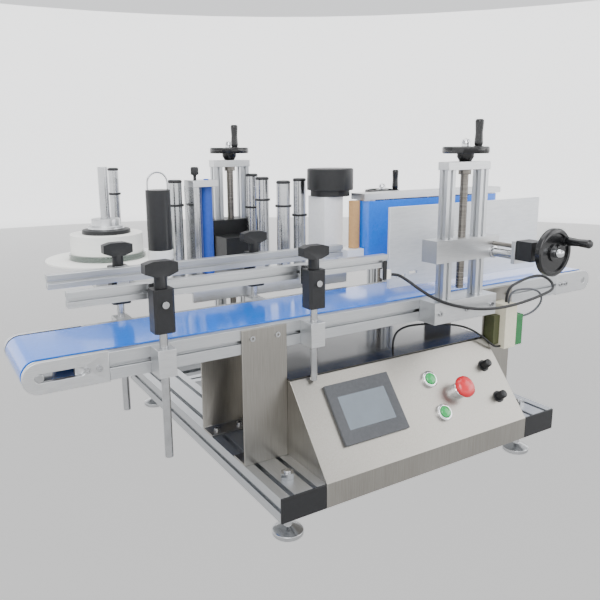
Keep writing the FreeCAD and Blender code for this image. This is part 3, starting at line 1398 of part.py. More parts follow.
def rounded_path(points):
    """Join route points by straight runs and tangent arcs, and report the radii."""
    corners = [spot(*point) for point in points]
    edges = []
    radii = []
    start = corners[0]
    for before, corner, after in zip(corners, corners[1:], corners[2:]):
        into = corner - before
        out = after - corner
        shorter = min(into.Length, out.Length)
        turn = into.getAngle(out)
        radius = 0.45 * shorter / math.tan(turn / 2)
        radii.append(radius)
        into.normalize()
        out.normalize()
        enter = corner - into * (0.45 * shorter)
        leave = corner + out * (0.45 * shorter)
        middle = corner + (out - into).normalize() * (radius / math.cos(turn / 2) - radius)
        edges.append(Part.LineSegment(start, enter).toShape())
        edges.append(Part.Arc(enter, middle, leave).toShape())
        start = leave
    edges.append(Part.LineSegment(start, corners[-1]).toShape())
    return Part.Wire(edges), radii


def cable(label, points, radius):
    """Make one free cable as a round tube along its route."""
    path, radii = rounded_path(points)
    print(label, "radii", [round(value) for value in radii])
    start = path.Edges[0]
    direction = start.tangentAt(start.FirstParameter)
    section = Part.Wire([Part.makeCircle(float(radius), start.Vertexes[0].Point, direction)])
    solid = path.makePipeShell([section], True, False)
    expected = math.pi * float(radius) ** 2 * path.Length
    print(label, "length", round(path.Length), "volume share", round(solid.Volume / expected, 4))
    feature = document.addObject("Part::Feature", label + "_tube")
    feature.Shape = solid
    node(feature, label)


# ---------------------------------------------------------------------- build

def build():
    """Make every sub-part of the machine."""
    nuts = base_frame()
    fasteners(nuts)
    control_box()
    conveyor()
    bottle_guides()
    columns = []
    plates = []
    press_unit(columns, plates)
    label_head(columns, plates)
    wrap_station(columns, plates)
    node(group("column_set", columns), "lift_columns")
    node(group("plate_set", plates), "column_plates")
    amplifiers()
    cable("sensor_cable", SENSOR_CABLE, s.cable_radius)
    cable("loop_cable", LOOP_CABLE, s.thin_cable_radius)
    cable("under_cable", UNDER_CABLE, s.thin_cable_radius)


def check_document():
    """Stop if any object failed to compute or any sub-part is unsound."""
    for thing in document.Objects:
        if "Invalid" in thing.State or "Error" in thing.State:
            raise RuntimeError("%s did not compute: %s" % (thing.Name, thing.State))
    for thing in NODES:
        if thing.Shape.isNull() or not thing.Shape.isValid():
            raise RuntimeError("%s has no sound shape" % thing.Label)


def export():
    """Write one STEP file for each sub-part."""
    os.makedirs("parts", exist_ok=True)
    for thing in NODES:
        thing.Shape.exportStep(os.path.join("parts", thing.Label + ".step"))
    print(len(NODES), "sub-parts written")


build()
document.recompute()
check_document()
export()
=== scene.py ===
"""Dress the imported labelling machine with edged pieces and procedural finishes."""

from __future__ import annotations

import json
import logging
import math
from dataclasses import dataclass
from typing import Callable, Iterable, Sequence

import bmesh
import bpy
from mathutils import Matrix, Vector

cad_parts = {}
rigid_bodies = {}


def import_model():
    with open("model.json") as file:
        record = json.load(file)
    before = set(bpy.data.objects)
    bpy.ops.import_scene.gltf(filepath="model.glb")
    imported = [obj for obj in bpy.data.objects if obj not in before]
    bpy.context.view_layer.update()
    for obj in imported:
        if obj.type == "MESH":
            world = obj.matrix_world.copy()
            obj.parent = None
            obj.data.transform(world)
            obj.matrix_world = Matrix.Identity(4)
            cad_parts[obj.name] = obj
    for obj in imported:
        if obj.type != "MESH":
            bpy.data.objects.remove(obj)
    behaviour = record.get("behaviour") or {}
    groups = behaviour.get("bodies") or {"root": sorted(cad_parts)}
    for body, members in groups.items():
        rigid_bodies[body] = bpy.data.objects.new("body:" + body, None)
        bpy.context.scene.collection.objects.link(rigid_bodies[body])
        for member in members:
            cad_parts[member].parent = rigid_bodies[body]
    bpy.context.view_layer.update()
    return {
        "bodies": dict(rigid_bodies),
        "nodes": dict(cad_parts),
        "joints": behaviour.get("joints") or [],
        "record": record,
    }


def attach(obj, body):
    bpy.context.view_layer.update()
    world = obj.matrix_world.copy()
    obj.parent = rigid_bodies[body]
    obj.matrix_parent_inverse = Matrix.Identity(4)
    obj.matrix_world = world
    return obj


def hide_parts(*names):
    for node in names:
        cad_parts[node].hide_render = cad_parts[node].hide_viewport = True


LOG = logging.getLogger("labelling_machine")

Point = tuple[float, float, float]
Picks = Callable[[Vector, Vector], bool]

MM_PER_M = 1000


# --------------------------------------------------------------------- sizes


@dataclass(frozen=True)
class Datum:
    """How far the base frame's front left bottom corner lies from the origin, in metres."""

    across: float = 0.276
    back: float = 0.3055
    foot: float = 0.056

    def at(self, x: float, y: float, z: float) -> Vector:
        """Give the model's point for a place measured from the corner in millimetres.

        Args:
            x: Distance right of the frame's left edge.
            y: Distance behind the frame's front edge.
            z: Height over the underside of the base rails.

        Returns:
            The point in metres.
        """
        return Vector(
            (x / MM_PER_M - self.across, y / MM_PER_M - self.back, z / MM_PER_M + self.foot)
        )


DATUM = Datum()


@dataclass(frozen=True)
class CameraView:
    """The camera: its place in millimetres from the corner, its turns in degrees, its lens."""

    place: Point = (-419.27, -725.36, 541.44)
    heading: float = -31.6345
    pitch: float = 12.0345
    roll: float = -0.3475
    lens: float = 38.309
    sensor: float = 36.0
    shift: tuple[float, float] = (0.00603, -0.0306)
    sight: float = 60.0


@dataclass(frozen=True)
class Route:
    """A free cable: its points in millimetres, and its radius and length in metres."""

    node: str
    points: tuple[Point, ...]
    radius: float
    length: float


ROUTES = (
    Route(
        "sensor_cable",
        (
            (300, 131, 317), (317, 131, 317), (332, 121, 307), (344, 101, 292), (362, 82, 276),
            (393, 68, 262), (444, 61, 249), (500, 58, 243), (549, 59, 243), (597, 61, 246),
            (640, 64, 251), (676, 67, 257), (688, 83, 269), (676, 99, 281), (640, 102, 279),
            (606, 101, 272), (584, 98, 268), (572, 97, 255), (572, 97, 238),
        ),
        0.00275,
        0.586,
    ),
    Route(
        "loop_cable",
        (
            (566, 86, 238), (566, 86, 252), (576, 84, 262), (592, 82, 264), (624, 80, 262),
            (648, 78, 252), (656, 78, 234), (644, 82, 216), (626, 88, 206), (608, 88, 206),
        ),
        0.002,
        0.179,
    ),
    Route(
        "under_cable",
        (
            (330, 150, 173), (330, 150, 196), (350, 144, 211), (384, 134, 213), (419, 125, 210),
            (454, 118, 205), (486, 108, 195), (512, 96, 176), (527, 88, 161), (538, 87, 154),
            (550, 87, 154),
        ),
        0.002,
        0.269,
    ),
)


# ------------------------------------------------------------------ finishes


def colour(code: str) -> tuple[float, float, float, float]:
    """Turn an sRGB hex code into a linear colour, by the sRGB standard's own curve.

    Args:
        code: Six hexadecimal digits.

    Returns:
        Linear red, green and blue with full alpha.
    """
    channels = []
    for start in (0, 2, 4):
        value = int(code[start:start + 2], 16) / 255
        channels.append(value / 12.92 if value <= 0.04045 else ((value + 0.055) / 1.055) ** 2.4)
    return (channels[0], channels[1], channels[2], 1.0)


@dataclass(frozen=True)
class Finish:
    """Everything that makes one surface look as it does.

    The base and shade are the light and dark of its colour. Its roughness wanders by spread.
    The scale is the pattern's cells to the metre, and stretch multiplies it along each axis.
    """

    name: str
    base: str
    shade: str
    metallic: float = 0.0
    roughness: float = 0.5
    spread: float = 0.08
    stretch: Point = (1.0, 1.0, 1.0)
    scale: float = 60.0
    bump: float = 0.05
    coat: float = 0.0
    transmission: float = 0.0
    glow: float = 0.0
    ior: float = 1.45


FINISHES = {
    finish.name: finish
    for finish in (
        # Anodised aluminium extrusion lying along X: satin, with soft streaks along its length.
        Finish(
            "anodised", "C9CBCD", "B4B7BA",
            metallic=1.0, roughness=0.38, spread=0.1, stretch=(2, 60, 60), scale=12, bump=0.02,
        ),
        # The same extrusion lying along Y, so its streaks turn with it.
        Finish(
            "anodised_y", "C9CBCD", "B4B7BA",
            metallic=1.0, roughness=0.38, spread=0.1, stretch=(60, 2, 60), scale=12, bump=0.02,
        ),
        # The same extrusion standing upright: painted a little brighter, as painted light on the
        # upright columns.
        Finish(
            "anodised_z", "CFD1D3", "B9BCBF",
            metallic=1.0, roughness=0.34, spread=0.1, stretch=(60, 60, 2), scale=12, bump=0.02,
        ),
        # Brushed aluminium plate: fine lines and a wide, soft highlight.
        Finish(
            "plate", "D3D4D5", "BEC0C2",
            metallic=1.0, roughness=0.36, spread=0.1, stretch=(3, 40, 40), scale=16, bump=0.02,
        ),
        # Brushed stainless sheet: warmer and darker than aluminium, with long upright lines.
        Finish(
            "stainless", "A9A6A0", "8F8C86",
            metallic=1.0, roughness=0.33, spread=0.12, stretch=(60, 60, 1.5), scale=14,
            bump=0.03,
        ),
        # Polished chrome plating: nearly a mirror, so the lamps show sharply in it.
        Finish(
            "chrome", "DADBDD", "C6C8CB",
            metallic=1.0, roughness=0.1, spread=0.05, scale=30, bump=0.0,
        ),
        # Ground steel rod: bright, with a slightly broken highlight.
        Finish(
            "steel", "C4C5C7", "A9ABAD",
            metallic=1.0, roughness=0.24, spread=0.1, scale=50, bump=0.01,
        ),
        # Rolled lead screw: dark rings about 2.4 mm apart stand for the thread of an upright screw,
        # as painted shade in the thread's grooves.
        Finish(
            "screw_steel", "8E8A84", "5E5A55",
            metallic=1.0, roughness=0.3, spread=0.16, stretch=(1, 1, 420), scale=1, bump=0.3,
        ),
        # Gloss black powder coat: dark, with a clear reflection.
        Finish(
            "lid_black", "17171A", "0E0E10",
            roughness=0.14, spread=0.06, scale=25, bump=0.02, coat=0.5,
        ),
        # Satin black powder coat: a fine pebbled surface.
        Finish(
            "coat_black", "1A1B1D", "101112",
            roughness=0.38, spread=0.1, scale=140,
        ),
        # Moulded black nylon: fine and matt.
        Finish(
            "plastic_black", "1B1C1F", "111214",
            roughness=0.42, spread=0.1, scale=180,
        ),
        # Moulded black phenolic resin: deep black with a soft gloss.
        Finish(
            "wheel_black", "141517", "0C0C0E",
            roughness=0.26, scale=80, bump=0.03, coat=0.2,
        ),
        # Moulded dark grey ABS: even and matt.
        Finish(
            "bezel_grey", "4A4C50", "3C3E42",
            roughness=0.48, scale=200, bump=0.04,
        ),
        # Cover glass over an unlit display: smooth, with a sharp reflection.
        Finish(
            "screen", "54626E", "44505B",
            roughness=0.08, spread=0.02, scale=20, bump=0.0, coat=0.6,
        ),
        # Smooth PVC belting: bright blue under a glossy top layer.
        Finish(
            "belt_blue", "1877E6", "1268D2",
            roughness=0.16, spread=0.06, scale=220, bump=0.03, coat=0.6,
        ),
        # Moulded blue silicone rubber: half matt.
        Finish(
            "roller_blue", "2B55B8", "234AA6",
            roughness=0.4, scale=160,
        ),
        # White stove enamel: clean and half gloss.
        Finish(
            "white_paint", "EDEEEE", "E1E2E3",
            roughness=0.34, spread=0.06, scale=120, bump=0.02, coat=0.2,
        ),
        # Moulded white acetal: slightly warm and half matt.
        Finish(
            "white_plastic", "F0F0EC", "E4E4E0",
            roughness=0.36, spread=0.06, scale=120, bump=0.02,
        ),
        # Painted aluminium sheet: pale, with only a trace of metal.
        Finish(
            "press_sheet", "DFE1E3", "CBCED1",
            metallic=0.35, roughness=0.38, spread=0.1, stretch=(4, 30, 30), scale=10,
            bump=0.01,
        ),
        # Wound label paper: matt, with faint level lines round the roll.
        Finish(
            "paper", "F2F2EE", "E3E4DE",
            roughness=0.62, spread=0.06, stretch=(1, 1, 90), scale=20, bump=0.06,
        ),
        # Clear acrylic sheet: see-through, with a slight green tint.
        Finish(
            "clear_sheet", "DDEFE4", "CFE6D9",
            roughness=0.06, spread=0.02, scale=20, bump=0.0, coat=0.3, transmission=0.85,
        ),
        # Moulded green polycarbonate: glossy, and faintly lit from behind.
        Finish(
            "green_lens", "0F9A4A", "0B8540",
            roughness=0.16, spread=0.04, bump=0.0, coat=0.6, glow=0.15,
        ),
        # Moulded red ABS: bright with a soft gloss.
        Finish(
            "red_lens", "D4202E", "B81622",
            roughness=0.24, spread=0.05, scale=120, bump=0.02, coat=0.5,
        ),
        # Black PVC cable sheath: soft and matt.
        Finish(
            "cable_black", "1C1D20", "121315",
            roughness=0.46, scale=200,
        ),
        # Grey PVC cable sheath: soft and matt.
        Finish(
            "cable_grey", "55585D", "44474C",
            scale=200,
        ),
        # Moulded cream ABS: matt and slightly warm.
        Finish(
            "case_cream", "D8D3BF", "C9C4B0",
            roughness=0.48, spread=0.06, scale=160, bump=0.03,
        ),
        # Moulded olive ABS: matt and dark.
        Finish(
            "case_olive", "4D5133", "3D4129",
            spread=0.06, scale=160, bump=0.03,
        ),
        # Moulded green ABS: matt.
        Finish(
            "case_green", "2E7A45", "236338",
            spread=0.06, scale=160, bump=0.03,
        ),
        # Tan polyurethane sleeve: warm and matt.
        Finish(
            "tan_rubber", "C39A66", "B0885A",
            roughness=0.58, scale=160,
        ),
        # Seamless painted floor: it glows, so that it stays pale away from the lamps.
        Finish(
            "floor", "F6F6F6", "F3F3F3",
            roughness=0.6, spread=0.03, scale=3, bump=0.0, glow=0.95,
        ),
    )
}


@dataclass(frozen=True)
class Mottle:
    """The pattern that every finish shares: fine noise, with a broad cloud mixed in."""

    detail: float = 5.0
    roughness: float = 0.6
    cloud_scale: float = 5.0
    cloud_detail: float = 3.0
    cloud_share: float = 0.4
    dark_stop: float = 0.32
    light_stop: float = 0.68
    rough_from: float = 0.3
    rough_to: float = 0.7
    least_roughness: float = 0.02
    coat_roughness: float = 0.08
    bump_gain: float = 4.0
    bump_depth: float = 0.0006


MOTTLE = Mottle()

# The places of a float Mix node's two values among its inputs.
MIX_FIRST, MIX_SECOND = 2, 3


def add_node(
    tree: bpy.types.NodeTree,
    kind: str,
    settings: dict[str, object] | None = None,
    feeds: dict[str | int, bpy.types.NodeSocket] | None = None,
) -> bpy.types.Node:
    """Add a node with its settings and links.

    Args:
        tree: The material's node tree.
        kind: The node's type.
        settings: Values by the name of an input, or else of one of the node's own options.
        feeds: The output that feeds each input, by the input's name or place.

    Returns:
        The new node.
    """
    node = tree.nodes.new(kind)
    for name, value in (settings or {}).items():
        if name in node.inputs:
            node.inputs[name].default_value = value
        else:
            setattr(node, name, value)
    for name, output in (feeds or {}).items():
        tree.links.new(output, node.inputs[name])
    return node


class Paint:
    """Builds each finish's material once and hands it out."""

    def __init__(self, finishes: dict[str, Finish]) -> None:
        """Keep the finishes to build from."""
        self._finishes = finishes
        self._made: dict[str, bpy.types.Material] = {}

    def get(self, name: str) -> bpy.types.Material:
        """Give the material of a finish.

        Args:
            name: The finish's name.

        Returns:
            The node-based material.
        """
        if name not in self._made:
            self._made[name] = self._build(self._finishes[name])
        return self._made[name]

    def _build(self, finish: Finish) -> bpy.types.Material:
        """Make the material of a finish.

        Args:
            finish: The finish.

        Returns:
            A new node-based material.
        """
        material = bpy.data.materials.new(finish.name)
        material.use_nodes = True
        tree = material.node_tree
        where = add_node(tree, "ShaderNodeTexCoord")
        stretch = add_node(
            tree, "ShaderNodeMapping",
            {"Scale": finish.stretch},
            {"Vector": where.outputs["Object"]},
        )
        noise = add_node(
            tree, "ShaderNodeTexNoise",
            {"Scale": finish.scale, "Detail": MOTTLE.detail, "Roughness": MOTTLE.roughness},
            {"Vector": stretch.outputs["Vector"]},
        )
        cloud = add_node(
            tree, "ShaderNodeTexNoise",
            {"Scale": MOTTLE.cloud_scale, "Detail": MOTTLE.cloud_detail},
            {"Vector": where.outputs["Object"]},
        )
        blend = add_node(
            tree, "ShaderNodeMix",
            {"data_type": "FLOAT", "Factor": MOTTLE.cloud_share},
            {MIX_FIRST: noise.outputs["Fac"], MIX_SECOND: cloud.outputs["Fac"]},
        )
        ramp = add_node(tree, "ShaderNodeValToRGB", feeds={"Fac": blend.outputs[0]})
        dark, light = ramp.color_ramp.elements
        dark.position, dark.color = MOTTLE.dark_stop, colour(finish.shade)
        light.position, light.color = MOTTLE.light_stop, colour(finish.base)
        rough = add_node(
            tree, "ShaderNodeMapRange",
            {
                "From Min": MOTTLE.rough_from,
                "From Max": MOTTLE.rough_to,
                "To Min": max(MOTTLE.least_roughness, finish.roughness - finish.spread / 2),
                "To Max": finish.roughness + finish.spread / 2,
            },
            {"Value": blend.outputs[0]},
        )
        shader = tree.nodes["Principled BSDF"]
        for name, value in (
            ("Metallic", finish.metallic),
            ("IOR", finish.ior),
            ("Coat Weight", finish.coat),
            ("Coat Roughness", MOTTLE.coat_roughness),
            ("Transmission Weight", finish.transmission),
        ):
            shader.inputs[name].default_value = value
        tree.links.new(ramp.outputs["Color"], shader.inputs["Base Color"])
        tree.links.new(rough.outputs["Result"], shader.inputs["Roughness"])
        if finish.bump > 0:
            bump = add_node(
                tree, "ShaderNodeBump",
                {"Strength": finish.bump * MOTTLE.bump_gain, "Distance": MOTTLE.bump_depth},
                {"Height": noise.outputs["Fac"]},
            )
            tree.links.new(bump.outputs["Normal"], shader.inputs["Normal"])
        if finish.glow > 0:
            shader.inputs["Emission Color"].default_value = colour(finish.base)
            shader.inputs["Emission Strength"].default_value = finish.glow
        return material


PAINT = Paint(FINISHES)

# The finish of each node. A solid that differs from its node is in LOOKS.
NODE_FINISH: dict[str, str] = {
    "base_rails": "anodised_y", "rail_end_caps": "plastic_black", "cross_members": "anodised",
    "levelling_feet": "steel", "frame_fasteners": "steel", "control_box": "stainless",
    "control_box_lid": "lid_black", "hmi_bezel": "bezel_grey", "hmi_screen": "screen",
    "panel_bezels": "chrome", "conveyor_brackets": "stainless", "conveyor_rails": "anodised",
    "slider_bed": "stainless", "conveyor_end_plates": "plate", "conveyor_belt": "belt_blue",
    "rod_holders": "plate", "lift_columns": "anodised_z", "column_plates": "plate",
    "amplifier_boxes": "case_cream", "sensor_cable": "cable_black", "loop_cable": "cable_grey",
    "under_cable": "cable_black", "drive_roller": "steel", "idler_roller": "steel",
    "front_guide_posts": "steel", "front_clamp_blocks": "plastic_black",
    "front_guide_rail": "anodised", "bottle_sensor": "white_plastic",
    "front_knob_left": "plastic_black", "front_knob_right": "plastic_black",
    "rear_guide_posts": "steel", "rear_clamp_blocks": "plastic_black",
    "rear_guide_rail": "anodised", "rear_knob_left": "plastic_black",
    "rear_knob_right": "plastic_black", "start_button": "green_lens",
    "reset_button": "green_lens", "e_stop_button": "red_lens", "speed_knob": "plastic_black",
    "delay_knob": "plastic_black", "press_carriage": "plate", "press_lift_wheel": "wheel_black",
    "press_slide": "steel", "position_indicator": "plastic_black", "press_plate": "press_sheet",
    "press_reach_wheel": "wheel_black", "head_carriage": "coat_black", "head_plate": "plate",
    "guide_posts": "steel", "post_collars": "plastic_black", "traction_frame": "steel",
    "head_lift_wheel": "wheel_black", "label_reel": "paper", "rewind_drum": "plastic_black",
    "traction_roller": "roller_blue", "wrap_frame": "plate", "wrap_belt": "belt_blue",
    "wrap_motor": "coat_black", "wrap_roller": "tan_rubber", "wrap_lift_wheel": "wheel_black",
}


# ------------------------------------------------------------- scene pieces


@dataclass(frozen=True)
class Cables:
    """The free cables, as smooth curves along their routes."""

    routes: Iterable[Route]
    roundness: int = 6
    resolution: int = 12
    order: int = 3

    def build(self) -> None:
        for route in self.routes:
            points = [DATUM.at(*point) for point in route.points]
            curve = bpy.data.curves.new(route.node + "_line", "CURVE")
            curve.dimensions = "3D"
            curve.bevel_depth = route.radius
            curve.bevel_resolution = self.roundness
            curve.resolution_u = self.resolution
            curve.use_fill_caps = True
            spline = curve.splines.new("NURBS")
            spline.points.add(len(points) - 1)
            for control, point in zip(spline.points, points):
                control.co = (*point, 1.0)
            spline.order_u = self.order
            spline.use_endpoint_u = True
            curve.materials.append(PAINT.get(NODE_FINISH[route.node]))
            piece = bpy.data.objects.new(route.node + "_line", curve)
            bpy.context.scene.collection.objects.link(piece)
            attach(piece, "base")
            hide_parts(route.node)
            LOG.info("%s: %.0f mm long", piece.name, route.length * MM_PER_M)


@dataclass(frozen=True)
class Look:
    """A finish for the solids of a node that a test on their box's middle and size picks out."""

    finish: str
    picks: Picks


@dataclass(frozen=True)
class Limits:
    """The sizes in metres that tell the solids of one node apart."""

    screw_length: float = 0.1
    screw_width: float = 0.026
    hub_nut: float = 0.018
    guide_arm: float = 0.1
    olive_case: float = 0.02
    green_case: float = 0.028
    wrap_housing_edge: float = 0.072
    wrap_pulley_height: float = 0.1
    traction_cap_height: float = 0.03
    traction_cap_width: float = 0.02
    traction_plate_depth: float = 0.04
    wide_disc: float = 0.2
    clear_disc: float = 0.136
    label_roll: float = 0.1
    drum_loop: float = 0.01
    slide_plate: float = 0.02
    press_collar: float = 0.05
    sensor_strip: float = 0.006
    knob_ring: float = 0.024
    banded_height: float = 0.012


LIMITS = Limits()


def slender(centre: Vector, extent: Vector) -> bool:
    """Tell whether a solid is a long thin rod.

    Args:
        centre: The middle of its box; not used.
        extent: The size of its box.

    Returns:
        True for a rod.
    """
    return max(extent) > LIMITS.screw_length and sorted(extent)[1] < LIMITS.screw_width


WHEEL_LOOKS = (
    Look("screw_steel", slender),
    Look("chrome", lambda centre, extent: max(extent) < LIMITS.hub_nut),
)
RAIL_LOOKS = (Look("steel", lambda centre, extent: extent.x < LIMITS.guide_arm),)

# The solids that differ from their node's own finish, tried in this order.
LOOKS: dict[str, tuple[Look, ...]] = {
    "press_lift_wheel": WHEEL_LOOKS,
    "press_reach_wheel": WHEEL_LOOKS,
    "head_lift_wheel": WHEEL_LOOKS,
    "wrap_lift_wheel": WHEEL_LOOKS,
    "front_guide_rail": RAIL_LOOKS,
    "rear_guide_rail": RAIL_LOOKS,
    "amplifier_boxes": (
        Look("case_olive", lambda centre, extent: extent.x < LIMITS.olive_case),
        Look("case_green", lambda centre, extent: extent.x < LIMITS.green_case),
    ),
    "wrap_frame": (
        Look("white_paint", lambda centre, extent: centre.x < LIMITS.wrap_housing_edge),
        Look("steel", lambda centre, extent: extent.z > LIMITS.wrap_pulley_height),
    ),
    "traction_frame": (
        Look(
            "plastic_black",
            lambda centre, extent: (
                extent.z < LIMITS.traction_cap_height and extent.x < LIMITS.traction_cap_width
            ),
        ),
        Look(
            "plate",
            lambda centre, extent: (
                extent.y > LIMITS.traction_plate_depth and extent.x > extent.y
            ),
        ),
    ),
    "label_reel": (
        Look("paper", lambda centre, extent: extent.x > LIMITS.wide_disc),
        Look("clear_sheet", lambda centre, extent: extent.x > LIMITS.clear_disc),
        Look("paper", lambda centre, extent: extent.x > LIMITS.label_roll),
        Look("plastic_black", lambda centre, extent: True),
    ),
    "rewind_drum": (Look("steel", lambda centre, extent: extent.y < LIMITS.drum_loop),),
    "press_slide": (Look("plate", lambda centre, extent: extent.y < LIMITS.slide_plate),),
    "press_carriage": (Look("steel", lambda centre, extent: extent.x < LIMITS.press_collar),),
    "bottle_sensor": (
        Look("plastic_black", lambda centre, extent: extent.y < LIMITS.sensor_strip),
    ),
    "panel_bezels": (
        Look("plastic_black", lambda centre, extent: max(extent) < LIMITS.knob_ring),
    ),
}


@dataclass(frozen=True)
class Band:
    """A finish for the faces between two heights over the base rails, in millimetres."""

    finish: str
    low: float
    high: float


BANDS = {
    "label_reel": Band("plate", 393.0, 600.0),
    "rewind_drum": Band("white_plastic", 340.0, 364.2),
}


@dataclass(frozen=True)
class Edging:
    """How the edges of a piece are found and broken: lengths in metres, angles in degrees."""

    width: float = 0.0007
    segments: int = 2
    bevel_angle: float = 50.0
    sharp_angle: float = 40.0
    flat_angle: float = 1.0
    merge: float = 1e-6


EDGING = Edging()

# The nodes whose edges are finer than the rest, with their width in metres.
EDGE_WIDTHS = {
    "frame_fasteners": 0.0002,
    "conveyor_belt": 0.0,
    "wrap_belt": 0.0,
    "panel_bezels": 0.0003,
    "slider_bed": 0.0002,
    "hmi_bezel": 0.0005,
    "base_rails": 0.0004,
    "cross_members": 0.0004,
    "lift_columns": 0.0003,
    "post_collars": 0.0003,
    "conveyor_rails": 0.0004,
}

# The screen shows as it is, and the cables have pieces of their own.
BARE_NODES = ("hmi_screen", "sensor_cable", "loop_cable", "under_cable")


class EdgedPieces:
    """The node pieces: each solid with its own finish and softly broken edges."""

    def __init__(self, frame: dict) -> None:
        """Note each node's object, slot and body.

        Args:
            frame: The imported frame.
        """
        record = frame["record"]
        self._nodes = frame["nodes"]
        self._slots = {part["node"]: part["material_slot"] for part in record["subparts"]}
        self._bodies = {
            node: body for body, nodes in record["behaviour"]["bodies"].items() for node in nodes
        }

    def build(self, name: str) -> bpy.types.Object:
        """Make the piece that stands for a node.

        Args:
            name: The node.

        Returns:
            The finished piece.
        """
        source = self._nodes[name]
        form = bmesh.new()
        form.from_mesh(source.data)
        form.transform(source.matrix_world)
        bmesh.ops.remove_doubles(form, verts=form.verts, dist=EDGING.merge)
        bmesh.ops.dissolve_limit(
            form, angle_limit=math.radians(EDGING.flat_angle), verts=form.verts, edges=form.edges,
        )
        palette: list[str] = [NODE_FINISH[name]]
        for solid in self._solids(form):
            self._finish_solid(name, solid, palette)
        mesh = bpy.data.meshes.new(name + "_piece")
        form.to_mesh(mesh)
        form.free()
        for finish in palette:
            mesh.materials.append(PAINT.get(finish))
        mesh.shade_smooth()
        piece = bpy.data.objects.new(name + "_piece", mesh)
        bpy.context.scene.collection.objects.link(piece)
        width = EDGE_WIDTHS.get(name, EDGING.width)
        if width > 0:
            bevel = piece.modifiers.new("edge", "BEVEL")
            bevel.width = width
            bevel.segments = EDGING.segments
            bevel.limit_method = "ANGLE"
            bevel.angle_limit = math.radians(EDGING.bevel_angle)
            bevel.harden_normals = False
        mesh.set_sharp_from_angle(angle=math.radians(EDGING.sharp_angle))
        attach(piece, self._bodies[name])
        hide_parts(name)
        return piece

    @staticmethod
    def _solids(form: bmesh.types.BMesh) -> list[list[bmesh.types.BMFace]]:
        """Group the faces into connected solids.

        Solids that touch share an edge with more than two faces, so no group crosses one.

        Args:
            form: The merged mesh of a node.

        Returns:
            The faces of each solid.
        """
        left = set(form.faces)
        solids = []
        while left:
            seed = left.pop()
            found = [seed]
            queue = [seed]
            while queue:
                face = queue.pop()
                for line in face.edges:
                    if len(line.link_faces) > 2:
                        continue
                    for other in line.link_faces:
                        if other in left:
                            left.remove(other)
                            found.append(other)
                            queue.append(other)
            solids.append(found)
        return solids

    @staticmethod
    def _finish_solid(name: str, solid: list[bmesh.types.BMFace], palette: list[str]) -> None:
        """Pick the finish of each face of a solid.

        Args:
            name: The node.
            solid: The solid's faces.
            palette: The node's finishes so far, which grows with each new one.
        """
        points = [corner.co for face in solid for corner in face.verts]
        low = Vector(min(point[axis] for point in points) for axis in range(3))
        high = Vector(max(point[axis] for point in points) for axis in range(3))
        finish = palette[0]
        for look in LOOKS.get(name, ()):
            if look.picks((low + high) / 2, high - low):
                finish = look.finish
                break
        band = BANDS.get(name)
        for face in solid:
            chosen = finish
            if band and high.z - low.z > LIMITS.banded_height:
                height = (face.calc_center_median().z - DATUM.foot) * MM_PER_M
                if band.low < height < band.high and finish != "steel":
                    chosen = band.finish
            if chosen not in palette:
                palette.append(chosen)
            face.material_index = palette.index(chosen)


def paint_nodes(nodes: dict[str, bpy.types.Object]) -> None:
    """Give every CAD node its finish.

    Args:
        nodes: The frame's node objects by name.
    """
    for name, thing in nodes.items():
        material = PAINT.get(NODE_FINISH[name])
        if not thing.material_slots:
            thing.data.materials.append(material)
        for holder in thing.material_slots:
            holder.material = material


# ------------------------------------------------------- camera and studio


def make_camera(view: CameraView) -> None:
    """Place the camera.

    Args:
        view: Its place, aim and lens.
    """
    data = bpy.data.cameras.new("camera")
    data.lens = view.lens
    data.sensor_width = view.sensor
    data.shift_x, data.shift_y = view.shift
    data.clip_end = view.sight
    camera = bpy.data.objects.new("camera", data)
    turn = (
        Matrix.Rotation(math.radians(view.heading), 4, "Z")
        @ Matrix.Rotation(math.radians(90 - view.pitch), 4, "X")
        @ Matrix.Rotation(math.radians(view.roll), 4, "Z")
    )
    camera.matrix_world = Matrix.Translation(DATUM.at(*view.place)) @ turn
    bpy.context.scene.collection.objects.link(camera)
    bpy.context.scene.camera = camera


@dataclass(frozen=True)
class Lamp:
    """A soft square lamp: its place and size in metres, and its power in watts."""

    name: str
    place: Point
    size: float
    power: float


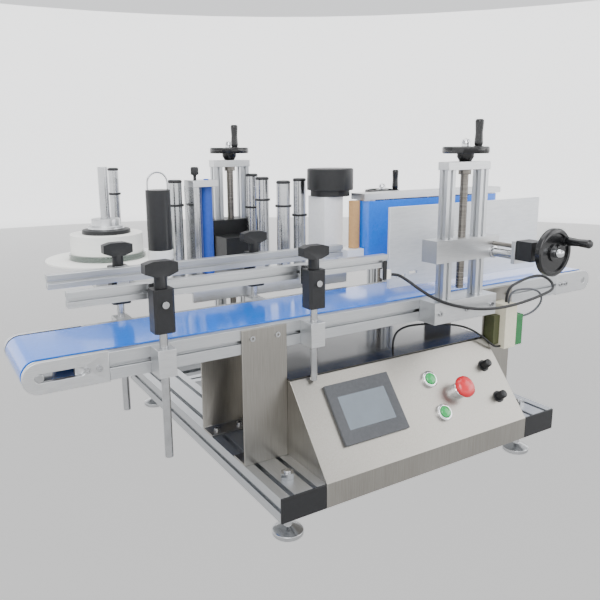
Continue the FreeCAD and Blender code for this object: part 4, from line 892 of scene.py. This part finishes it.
@dataclass(frozen=True)
class Studio:
    """A pale bowl-shaped floor, three soft lamps and pale surroundings, in metres."""

    reach: float = 4.2
    bend: float = 1.6
    wall: float = 1.9
    steps: int = 64
    bend_steps: int = 8
    aim: Point = (0, 0, 0.3)
    lamps: tuple[Lamp, ...] = (
        Lamp("key", (-1.6, -2.0, 2.6), 2.0, 78.0),
        Lamp("fill", (2.4, -1.8, 1.6), 2.2, 40.0),
        Lamp("top", (0.2, 0.6, 3.0), 2.6, 60.0),
    )
    sky: str = "F2F3F5"
    sky_strength: float = 1.3

    def build(self) -> None:
        """Make the floor, the lamps and the surroundings."""
        self._make_floor()
        for lamp in self.lamps:
            self._hang(lamp)
        world = bpy.data.worlds.new("studio")
        world.use_nodes = True
        background = world.node_tree.nodes["Background"]
        background.inputs["Color"].default_value = colour(self.sky)
        background.inputs["Strength"].default_value = self.sky_strength
        bpy.context.scene.world = world

    def _make_floor(self) -> None:
        """Make the floor: a disc that curves up into a low wall all round."""
        profile = [(self.reach, 0.0)]
        for step in range(1, self.bend_steps + 1):
            turn = math.radians(90 * step / self.bend_steps)
            profile.append((
                self.reach + self.bend * math.sin(turn), self.bend - self.bend * math.cos(turn),
            ))
        profile.append((self.reach + self.bend, self.wall))
        form = bmesh.new()
        rings = [
            [
                form.verts.new((
                    out * math.cos(2 * math.pi * part / self.steps),
                    out * math.sin(2 * math.pi * part / self.steps),
                    up,
                ))
                for part in range(self.steps)
            ]
            for out, up in profile
        ]
        form.faces.new(rings[0])
        for low, high in zip(rings, rings[1:]):
            for part in range(self.steps):
                following = (part + 1) % self.steps
                form.faces.new((low[part], low[following], high[following], high[part]))
        mesh = bpy.data.meshes.new("floor")
        form.to_mesh(mesh)
        form.free()
        mesh.shade_smooth()
        mesh.materials.append(PAINT.get("floor"))
        floor = bpy.data.objects.new("floor", mesh)
        bpy.context.scene.collection.objects.link(floor)

    def _hang(self, lamp: Lamp) -> None:
        """Hang a lamp and aim it at the machine.

        Args:
            lamp: The lamp.
        """
        data = bpy.data.lights.new(lamp.name, "AREA")
        data.shape = "SQUARE"
        data.size = lamp.size
        data.energy = lamp.power
        light = bpy.data.objects.new(lamp.name, data)
        light.location = lamp.place
        aim = Vector(self.aim) - Vector(lamp.place)
        light.rotation_euler = aim.to_track_quat("-Z", "Y").to_euler()
        bpy.context.scene.collection.objects.link(light)


def main() -> None:
    """Load the frame and dress it."""
    logging.basicConfig(level=logging.INFO)
    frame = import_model()
    make_camera(CameraView())
    Studio().build()
    Cables(ROUTES).build()
    paint_nodes(frame["nodes"])
    pieces = EdgedPieces(frame)
    for name in frame["nodes"]:
        if name not in BARE_NODES:
            piece = pieces.build(name)
            LOG.info("%s: %d faces", piece.name, len(piece.data.polygons))


if __name__ == "__main__":
    main()
